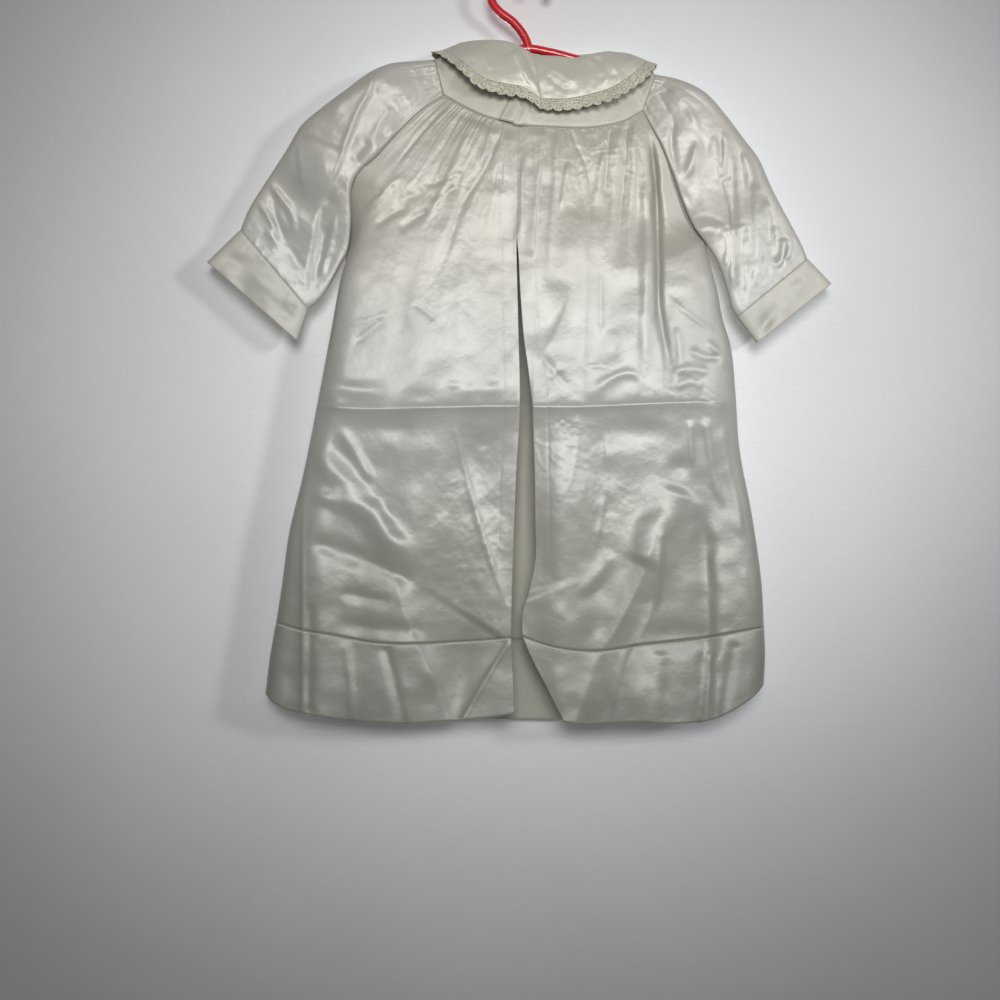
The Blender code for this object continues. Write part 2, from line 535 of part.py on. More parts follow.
centre = Vector((0.0, 0.0, -(HOOK_R - HANGER_R)))
hook = [
    centre + HOOK_R * Vector((math.cos(math.radians(a)), 0.0, math.sin(math.radians(a))))
    for a in np.linspace(HOOK_TIP_DEG, 180, 15)
]
shank = place(*np.array([(a, b, 0.0) for a, b in SHANK]).T)
hanger = rod("hanger", [tuple(p) for p in hook] + [tuple(p) for p in shank])
body.objects.link(hanger)
hanger.data.materials.append(material("hanger", (0.62, 0.02, 0.03), 0.25))
arms = rod("arms_solid", [tuple(p) for p in place(*through([(a, b, 0.0) for a, b in ARMS], even(16)).T)])
cutters.objects.link(arms)
arms.hide_render = True
arms.display_type = "WIRE"
join = hanger.modifiers.new("arms", "BOOLEAN")
join.operation = "UNION"
join.solver = "EXACT"
join.object = arms
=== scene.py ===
# A baby's satin gown, open down the front, on a child's red hanger: the looks.
import math

import bmesh
import bpy
import numpy as np
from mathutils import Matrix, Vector


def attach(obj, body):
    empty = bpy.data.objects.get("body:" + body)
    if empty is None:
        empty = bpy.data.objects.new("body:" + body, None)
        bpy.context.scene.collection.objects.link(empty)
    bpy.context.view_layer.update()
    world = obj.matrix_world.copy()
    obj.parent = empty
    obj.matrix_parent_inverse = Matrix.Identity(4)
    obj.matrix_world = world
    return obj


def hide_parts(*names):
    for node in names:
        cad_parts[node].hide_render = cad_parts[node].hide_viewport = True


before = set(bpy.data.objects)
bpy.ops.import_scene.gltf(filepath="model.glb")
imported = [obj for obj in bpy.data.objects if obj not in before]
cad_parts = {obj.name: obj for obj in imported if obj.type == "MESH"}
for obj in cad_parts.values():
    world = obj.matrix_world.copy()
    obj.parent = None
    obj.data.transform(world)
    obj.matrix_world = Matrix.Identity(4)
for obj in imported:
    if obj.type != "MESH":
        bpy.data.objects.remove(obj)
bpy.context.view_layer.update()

# ---- the form, as in the CAD ------------------------------------------------------------------------------------------
UNIT = 0.0008  # one drawing unit, on the plane of the hanger
MID_COL = 519.0
CROWN_ROW = -40.0
EYE_COL, EYE_ROW, EYE_FAR = 500.0, 500.0, 1300.0  # the drawing is a view from 1300 mm; depths are mm
HANGER_R = 0.0035
HOOK_R = 0.0224
RAGLAN = 8  # the sleeve section at the armpit

SLEEVE_RIGHT = [
    (443, 95, -14.0, 435, 60, 450, 80, 10.0, 0.0),
    (426, 106, -15.5, 413, 61.5, 430, 96, 11.0, 1.0),
    (408, 122, -16.5, 390, 64, 410, 113, 11.5, 2.0),
    (392, 139, -17.0, 370, 72.5, 393, 132, 11.5, 3.0),
    (376, 157, -17.0, 347, 89, 377, 152, 11.0, 4.0),
    (359, 172, -15.5, 323, 107, 363, 171, 10.0, 5.5),
    (351, 191, -12.0, 302, 125, 354, 192, 8.0, 7.0),
    (351, 220, -7.0, 288, 148, 350, 219, 4.0, 8.5),
    (348, 250, -2.0, 274, 170, 348, 250, -1.0, 9.5),
    (341, 264, -1.0, 265, 184, 341, 264, -1.0, 10.0),
    (333, 279, -0.5, 257, 196, 333, 279, -0.5, 10.0),
    (324, 294, 0.0, 250, 208, 324, 294, 0.0, 10.0),
    (316, 303, 0.0, 245, 219, 316, 303, 0.0, 10.0),
    (308, 309, 0.0, 241, 230, 308, 309, 0.0, 10.0),
]
SLEEVE_LEFT = [
    (643, 111, -13.0, 655, 75, 636, 90, 10.0, 0.0),
    (648, 121, -14.5, 672, 78, 645, 104, 11.0, 1.0),
    (654, 132, -16.0, 690, 84, 654, 119, 11.5, 2.0),
    (661, 145, -16.5, 708, 95, 663, 136, 11.5, 3.0),
    (668, 162, -16.5, 727, 117, 672, 155, 11.0, 4.0),
    (675, 182, -15.0, 744, 139.5, 681, 177, 10.0, 5.5),
    (684, 206, -12.0, 759, 160, 690, 201, 8.0, 7.0),
    (694, 227, -7.0, 770, 185, 698, 223, 4.0, 8.5),
    (705, 242, -2.0, 779, 203, 705, 242, -1.0, 9.5),
    (714, 256, -1.0, 786, 216, 714, 256, -1.0, 10.0),
    (721, 272, -0.5, 793, 229, 721, 272, -0.5, 10.0),
    (727, 291, 0.0, 799.5, 241, 727, 291, 0.0, 10.0),
    (731, 307, 0.0, 804, 251, 731, 307, 0.0, 10.0),
    (737, 317, 0.0, 807, 259, 737, 317, 0.0, 10.0),
]
CUFF_RIGHT_END = ((297, 341), (207.5, 262.5))
CUFF_LEFT_END = ((757, 343), (831, 284))
CUFF_FULL = 10.5
SIDE_RIGHT = [(348, 250), (344, 266), (340, 283), (333, 322), (320, 391), (313, 428), (302, 481), (290, 530), (281.5, 590), (276.6, 622)]
SIDE_LEFT = [(705, 242), (709, 261), (716.6, 289), (722, 318), (730, 345), (735, 391.5), (738.7, 445), (752, 517.5), (761.7, 590), (763.5, 627)]
HEM_SIDE_RIGHT = [(276.6, 622), (270, 660), (266, 694)]
HEM_SIDE_LEFT = [(763.5, 627), (764.5, 655), (763, 685)]
EDGE_RIGHT = [(519, 125, -21), (518, 160, -24), (517, 200, -26), (516.5, 243, -27.5), (517.5, 290, -29), (518.5, 330, -30), (520, 405, -31.5), (516, 480, -32.5), (513, 560, -33.5), (511, 637, -35)]
EDGE_LEFT = [(514.5, 125.4, -19.6), (514, 160, -22.2), (513.5, 200, -24.2), (515.8, 232, -25.6), (517.8, 249, -26.2), (520, 290, -28), (523, 330, -28.5), (531.5, 400, -29), (533.5, 440, -29), (535, 520, -29.5), (535, 560, -31), (529, 590, -33), (522, 615, -34.5), (522, 636, -35)]
HEM_EDGE_RIGHT = [(511, 637, -35), (513, 675, -36), (514.5, 714, -37)]
HEM_EDGE_LEFT = [(522, 636, -35), (530, 655, -36), (546, 686, -37), (564, 722, -38)]
HEM_SEAM_RIGHT = [(511, 637), (500, 638), (460, 641), (415, 643), (385, 643), (330, 634), (300, 629), (276.6, 622)]
HEM_SEAM_LEFT = [(522, 636), (552, 646), (605, 650), (635, 645), (680, 640), (712, 636), (745, 630), (763.5, 627)]
HEM_RIGHT = [(514.5, 714), (486, 718), (451, 721), (400, 723.5), (359, 721), (310.6, 715), (286, 709), (273, 702), (266, 694)]
HEM_LEFT = [(564, 722), (572.7, 723.5), (635.7, 722), (684, 723.5), (715.7, 718.7), (737.5, 708), (755, 695), (763, 685)]
BACK_HEM_SEAM = [(276.6, 622), (330, 632), (400, 637), (519, 639), (640, 639), (710, 634), (763.5, 627)]
BACK_HEM = [(266, 694), (276, 703), (330, 712), (400, 717), (519, 719), (640, 718), (715, 711), (752, 697), (763, 685)]
GATHER_RIGHT = [(519, 125), (508, 122.5), (490, 118), (466, 108), (443, 95)]
GATHER_LEFT = [(514.5, 125.4), (545, 127), (600, 127), (625, 121), (643, 111)]
GATHER_BACK = [(450, 80), (475, 89), (510, 94), (543, 95), (580, 95), (612, 93), (636, 90)]
NECK_FRONT_RIGHT = [(531, 60, -16), (505, 58, -15.5), (476, 55, -12.5)]
NECK_SHOULDER_RIGHT = [(476, 55, -12.5), (459, 49.5, 0), (468, 51, 7)]
NECK_BACK = [(468, 51, 7), (500, 53, 12.5), (543, 62, 14), (592, 61, 12.5), (622, 58.5, 7)]
NECK_SHOULDER_LEFT = [(622, 58.5, 7), (632, 60, 0), (618, 63, -11)]
NECK_FRONT_LEFT = [(618, 63, -11), (590, 63, -15), (560, 62.5, -16), (540, 62, -16.5), (532, 61.5, -18.6)]
YOKE_TAB = [(513, 123.5, -23.2), (499, 119.5, -23.0)]
DEPTHS = [
    (80, -18.0, 11.5, -2.0),
    (125, -21.0, 12.0, -2.0),
    (200, -26.0, 13.0, -2.0),
    (250, -27.5, 13.0, -2.0),
    (350, -30.5, 13.0, -1.5),
    (450, -32.0, 13.5, -1.0),
    (560, -33.5, 14.0, -0.5),
    (640, -35.0, 15.0, 0.0),
    (730, -37.5, 16.0, 0.0),
]
FRONT_FOLDS = [
    (440, 290, 402, 730, 30, 3.0),
    (376, 400, 348, 730, 24, -3.0),
    (322, 380, 318, 730, 18, 2.5),
    (472, 360, 456, 730, 22, -2.5),
    (562, 290, 560, 730, 20, 2.0),
    (604, 330, 592, 730, 20, -3.0),
    (668, 400, 640, 730, 24, 3.0),
    (700, 430, 700, 730, 18, -2.5),
]
BACK_FOLDS = [
    (400, 250, 350, 730, 26, 2.5),
    (450, 300, 430, 730, 24, -3.0),
    (500, 150, 495, 730, 24, 2.5),
    (560, 260, 565, 730, 24, -3.0),
    (610, 240, 625, 730, 24, 3.0),
    (660, 330, 690, 730, 22, -2.5),
]
COLLAR_RIGHT = [
    (530, 57, -17.5, 534, 54, -20.5, 541, 99, -28.0, 543, 110, -30.0),
    (519, 55, -17, 523, 45.5, -20.5, 524, 88, -29.5, 525, 98.5, -32.0),
    (503, 54, -16.5, 508, 39, -19.5, 503, 83.5, -30.5, 501, 94, -33.0),
    (487, 52.5, -15, 490, 38, -17.5, 484, 78, -30.5, 480, 88, -33.5),
    (474, 50.5, -12, 474, 39.5, -13, 467, 65, -27.5, 461, 71, -31.0),
    (463, 47.5, -6, 463, 42, -6, 450, 53.5, -15.5, 441, 55.5, -18.5),
    (461, 46, 2, 461, 43, 2.5, 442, 51, -1.0, 431.5, 52.5, -1.0),
    (467, 47.5, 8, 468, 44, 10, 447, 61, 13, 439, 67, 15),
    (488, 47, 12.5, 488, 43, 16, 472, 79, 19, 466, 89, 20.5),
    (515, 54, 14.5, 515, 50, 18.5, 507, 90, 21, 505, 101, 22),
    (542.6, 58.5, 15, 542.6, 55, 19, 542.6, 94, 21.5, 542.6, 105, 22.5),
]
COLLAR_LEFT = [
    (537, 58.5, -17.5, 537, 54, -20.5, 544.5, 99, -28.0, 546.5, 110, -29.5),
    (556, 59.5, -17.5, 556, 55, -20.5, 568, 99, -29.0, 571, 110, -30.5),
    (575, 60, -17, 575, 57, -20.5, 592, 94, -28.5, 596, 104.5, -30.5),
    (590, 60, -16.5, 590, 53, -19.5, 610, 88.5, -27.5, 614, 99.5, -30.0),
    (606, 59.5, -14, 606, 50, -16, 629, 77, -23.0, 638, 85, -25.5),
    (621, 57.5, -9, 621, 52.5, -9, 644, 64, -12.0, 654, 70, -13.0),
    (631, 56.5, 0, 630, 54, 0, 646, 60.5, 0, 657, 64.5, 0),
    (622, 55, 8, 621, 52, 10, 642, 70, 13, 652, 77, 15),
    (601, 55.5, 13, 601, 52.5, 16, 617, 86, 19, 623, 96, 20.5),
    (572, 58, 14.5, 572, 54.5, 18.5, 580, 93, 21, 583, 104, 22),
    (543.4, 58.5, 15, 543.4, 55, 19, 543.4, 94, 21.5, 543.4, 105, 22.5),
]
HOOK_TIP_DEG = -12.0
SHANK = [(491, -4), (493, 4), (500, 12), (513, 22), (520, 30), (526, 40), (529, 50)]
ARMS = [(379, 80), (400, 75.6), (435, 68), (480, 57.4), (510, 51), (529, 48.8), (548, 52), (580, 60.4), (620, 71.8), (655, 82), (676, 88.4)]


def place(col, row, depth):
    col, row, depth = np.broadcast_arrays(*(np.asarray(v, float) for v in (col, row, depth)))
    near = 1.0 + depth / EYE_FAR
    x = (EYE_COL - MID_COL) * UNIT + (col - EYE_COL) * UNIT * near
    z = (CROWN_ROW - EYE_ROW) * UNIT - (row - EYE_ROW) * UNIT * near
    return np.stack([x, depth * 0.001, z], -1)


def placed(grid):
    return place(grid[..., 0], grid[..., 1], grid[..., 2])


def through(points, fractions, knots=None):
    p = np.asarray(points, float)
    if knots is None:
        knots = np.concatenate([[0.0], np.cumsum(np.linalg.norm(np.diff(p, axis=0), axis=1))])
    slope = np.gradient(p, knots, axis=0) if len(p) > 2 else np.repeat((p[1:] - p[:1]) / knots[1], 2, 0)
    t = np.clip(np.asarray(fractions, float), 0, 1) * knots[-1]
    k = np.clip(np.searchsorted(knots, t, side="right") - 1, 0, len(p) - 2)
    h = (knots[k + 1] - knots[k])[:, None]
    a = ((t - knots[k])[:, None]) / h
    return (
        (2 * a**3 - 3 * a**2 + 1) * p[k]
        + (a**3 - 2 * a**2 + a) * h * slope[k]
        + (3 * a**2 - 2 * a**3) * p[k + 1]
        + (a**3 - a**2) * h * slope[k + 1]
    )


def sections(table, at):
    """Rows of a table at fractional row numbers."""
    n = len(table) - 1
    return through(table, np.asarray(at, float) / n, np.arange(n + 1.0))


def even(n):
    return np.linspace(0.0, 1.0, n + 1)


def dense(n, *peaks):
    """0 to 1 in n steps, closer together round each (place, width, gain)."""
    x = np.linspace(0, 1, 4001)
    weight = np.ones_like(x)
    for at, width, gain in peaks:
        weight += gain * np.exp(-(((x - at) / width) ** 2))
    total = np.concatenate([[0], np.cumsum((weight[1:] + weight[:-1]) / 2)])
    return np.interp(even(n), total / total[-1], x)


def depth_at(row, column):
    return np.interp(row, [d[0] for d in DEPTHS], [d[column] for d in DEPTHS])


FRONT, BACK, SIDE = 1, 2, 3


def smooth(x):
    x = np.clip(x, 0, 1)
    return x * x * (3 - 2 * x)


def folds(col, row, table):
    total = np.zeros_like(col)
    for c0, r0, c1, r1, half, height in table:
        along = (row - r0) / (r1 - r0)
        across = (col - (c0 + (c1 - c0) * along)) / half
        total += height * smooth(along * 2.2) * np.exp(-(across**2) * 1.6)
    return total


def corner_shape(u, power=7.0):
    angle = np.linspace(0, math.pi / 2, 2000)
    across, deep = np.sin(angle) ** (2 / power), 1 - np.cos(angle) ** (2 / power)
    length = np.concatenate([[0], np.cumsum(np.hypot(np.diff(across * 4), np.diff(deep * 1.0)))])
    length /= length[-1]
    return np.interp(u, length, across), np.interp(u, length, deep)


def coons(left, right, top, bottom, s, v):
    top_s, bottom_s = top(s.ravel()).reshape(s.shape + (2,)), bottom(s.ravel()).reshape(s.shape + (2,))
    s, v = s[..., None], v[:, None, None]
    l, r = left[:, None, :2], right[:, None, :2]
    p00, p10, p01, p11 = left[0, :2], right[0, :2], left[-1, :2], right[-1, :2]
    flat = (1 - s) * (1 - v) * p00 + s * (1 - v) * p10 + (1 - s) * v * p01 + s * v * p11
    return (1 - s) * l + s * r + (1 - v) * top_s + v * bottom_s - flat


# ---- creases, gathers and dents -----------------------------------------------------------------------------------------
def noise(x, y, cell, seed):
    """Smooth unevenness from -1 to 1 with the given cell size."""
    grid = np.random.RandomState(seed).rand(64, 64) * 2 - 1
    gx, gy = x / cell, y / cell
    ix, iy = np.floor(gx).astype(int), np.floor(gy).astype(int)
    fx, fy = gx - ix, gy - iy
    fx, fy = fx * fx * fx * (fx * (6 * fx - 15) + 10), fy * fy * fy * (fy * (6 * fy - 15) + 10)
    a, b = grid[ix % 64, iy % 64], grid[(ix + 1) % 64, iy % 64]
    c, d = grid[ix % 64, (iy + 1) % 64], grid[(ix + 1) % 64, (iy + 1) % 64]
    return (a * (1 - fx) + b * fx) * (1 - fy) + (c * (1 - fx) + d * fx) * fy


def crinkle(x, y, cell, seed):
    """Sharp little creases that wander, as in satin that was packed away; 0 to 1."""
    wx = x + cell * 0.7 * noise(x, y, cell * 1.6, seed + 1)
    wy = y + cell * 0.7 * noise(x, y, cell * 1.6, seed + 2)
    return (1 - np.abs(noise(wx, wy, cell, seed))) ** 3


def crumple(x, y, seed, amount=1.0):
    """Soft unevenness, with fine crinkles in patches."""
    soft = 1.1 * noise(x, y, 62, seed + 40) + 0.45 * noise(x + y * 0.4, y - x * 0.3, 27, seed + 41) + 0.22 * noise(x, y, 13, seed + 42)
    if np.isscalar(amount) and amount < 0:
        return soft
    mid = 0.42 * crinkle(x * 0.9 - y * 0.3, y + x * 0.2, 11, seed + 5)
    small = 0.24 * crinkle(x, y, 6, seed + 9) + 0.12 * noise(x, y, 4.5, seed + 11)
    return soft + amount * (mid + small)


def crinkled(x, y, base=0.12):
    total = np.full(x.shape, base)
    for c, r, wide, high, much in CRINKLED:
        total += much * np.exp(-(((x - c) / wide) ** 2) - ((y - r) / high) ** 2)
    return np.minimum(total, 1.2)


def along_path(col, row, path):
    """Signed distance to a path (right of its direction is +) and the share along it."""
    p = np.asarray(path, float)
    if len(p) > 2:
        p = through(p, even(max(4, 3 * (len(p) - 1))))
    seg = np.diff(p, axis=0)
    size = np.linalg.norm(seg, axis=1)
    start = np.concatenate([[0], np.cumsum(size)])
    best = np.full(col.shape, 1e9)
    signed = np.zeros(col.shape)
    share = np.zeros(col.shape)
    for i, (d, n) in enumerate(zip(seg, size)):
        if n < 1e-6:
            continue
        rx, ry = col - p[i, 0], row - p[i, 1]
        raw = (rx * d[0] + ry * d[1]) / n
        t = np.clip(raw, 0, n)
        far = np.hypot(rx - d[0] / n * t, ry - d[1] / n * t)
        side = (d[0] * ry - d[1] * rx) / n
        near = far < best
        best = np.where(near, far, best)
        signed = np.where(near, np.where(side >= 0, far, -far), signed)
        share = np.where(near, (start[i] + t) / start[-1], share)
    return signed, share


def creases(col, row, table):
    """Height in mm of the creases in a table. Kinds: r rounded ridge, c sharp crease, s a lapped step, higher on the
    right of its path and easing back over its reach, k a fold's edge, from which the right side falls away."""
    total = np.zeros(col.shape)
    for kind, height, width, fade, path in table:
        reach = width[1] if isinstance(width, tuple) else width * 4
        w = width[0] if isinstance(width, tuple) else width
        p = np.asarray(path, float)
        margin = max(reach * 2.2, w * 4)
        box = (
            (col > p[:, 0].min() - margin)
            & (col < p[:, 0].max() + margin)
            & (row > p[:, 1].min() - margin)
            & (row < p[:, 1].max() + margin)
        )
        if not box.any():
            continue
        d, t = along_path(col[box], row[box], path)
        # cloth leans only so far: a low, broad crease shines over its whole width
        if kind != "r" or height > -6:
            over = max(abs(p[-1, 0] - p[0, 0]) / np.hypot(*(p[-1] - p[0])), 0.7)
            height = math.copysign(min(abs(height), {"r": 0.26, "c": 0.42, "k": 0.105, "s": 0.9}[kind] * w / over), height)
        ends = smooth(t / max(fade[0], 1e-3)) * smooth((1 - t) / max(fade[1], 1e-3))
        wander = 1 + 0.25 * noise(col[box], row[box], 17.0, 11)
        if kind == "r":
            f = np.exp(-((d / (w * wander)) ** 2))
        elif kind == "c":
            f = np.exp(-np.sqrt(d**2 + 0.2) / (w * wander))
        else:
            f = 1 / (1 + np.exp(-d / w * 2.2)) * np.exp(-np.maximum(d, 0) / reach)
        if kind == "k":
            far = np.maximum(d, 0) / w
            f = -far * np.exp(1 - far)
        total[box] += height * ends * f
    return total


def dents(col, row, table):
    """Soft round dents (-) and swells (+): column, row, half length, half width, turn in degrees, height in mm."""
    total = np.zeros(col.shape)
    for c, r, long, wide, turn, height in table:
        a = math.radians(turn)
        x, y = (col - c) * math.cos(a) + (row - r) * math.sin(a), -(col - c) * math.sin(a) + (row - r) * math.cos(a)
        total += height * np.exp(-((x / long) ** 2) - (y / wide) ** 2)
    return total


def fold_ridge(row, line=406.0, height=3.6):
    """The front stands forward along its storage fold: it leans out above the fold and back below."""
    above = np.clip((row - 250.0) / (line - 250.0), 0, 1)
    below = np.clip((row - line) / 70.0, 0, 1)
    return height * np.where(row < line, above**2.2, (1 - below) ** 1.6)


def gathers(u, down, counts, seed):
    """Uneven pleats that run down from a gathered edge. u is the share across, down the distance from the edge.
    counts: pleats across, height in mm, how far down they last."""
    total = np.zeros(np.broadcast(u, down).shape)
    rng = np.random.RandomState(seed)
    for n, height, last in counts:
        wob = sum(rng.uniform(-0.35, 0.35) / (k + 1) * np.sin(2 * math.pi * ((k + 1) * u * 1.7 + rng.rand())) for k in range(5))
        phase = n * u + wob * 1.2 + 0.12 * noise(u * 40, down * 0.06, 1.0, seed + 3)
        strong = 0.55 + 0.45 * noise(u * n * 0.55 + 7, down * 0.012, 1.0, seed + 5)
        wave = 1 - np.abs(np.sin(math.pi * phase)) ** 0.8 * 1.7
        total += height * strong * wave * np.exp(-((down / last) ** 1.4))
    return total


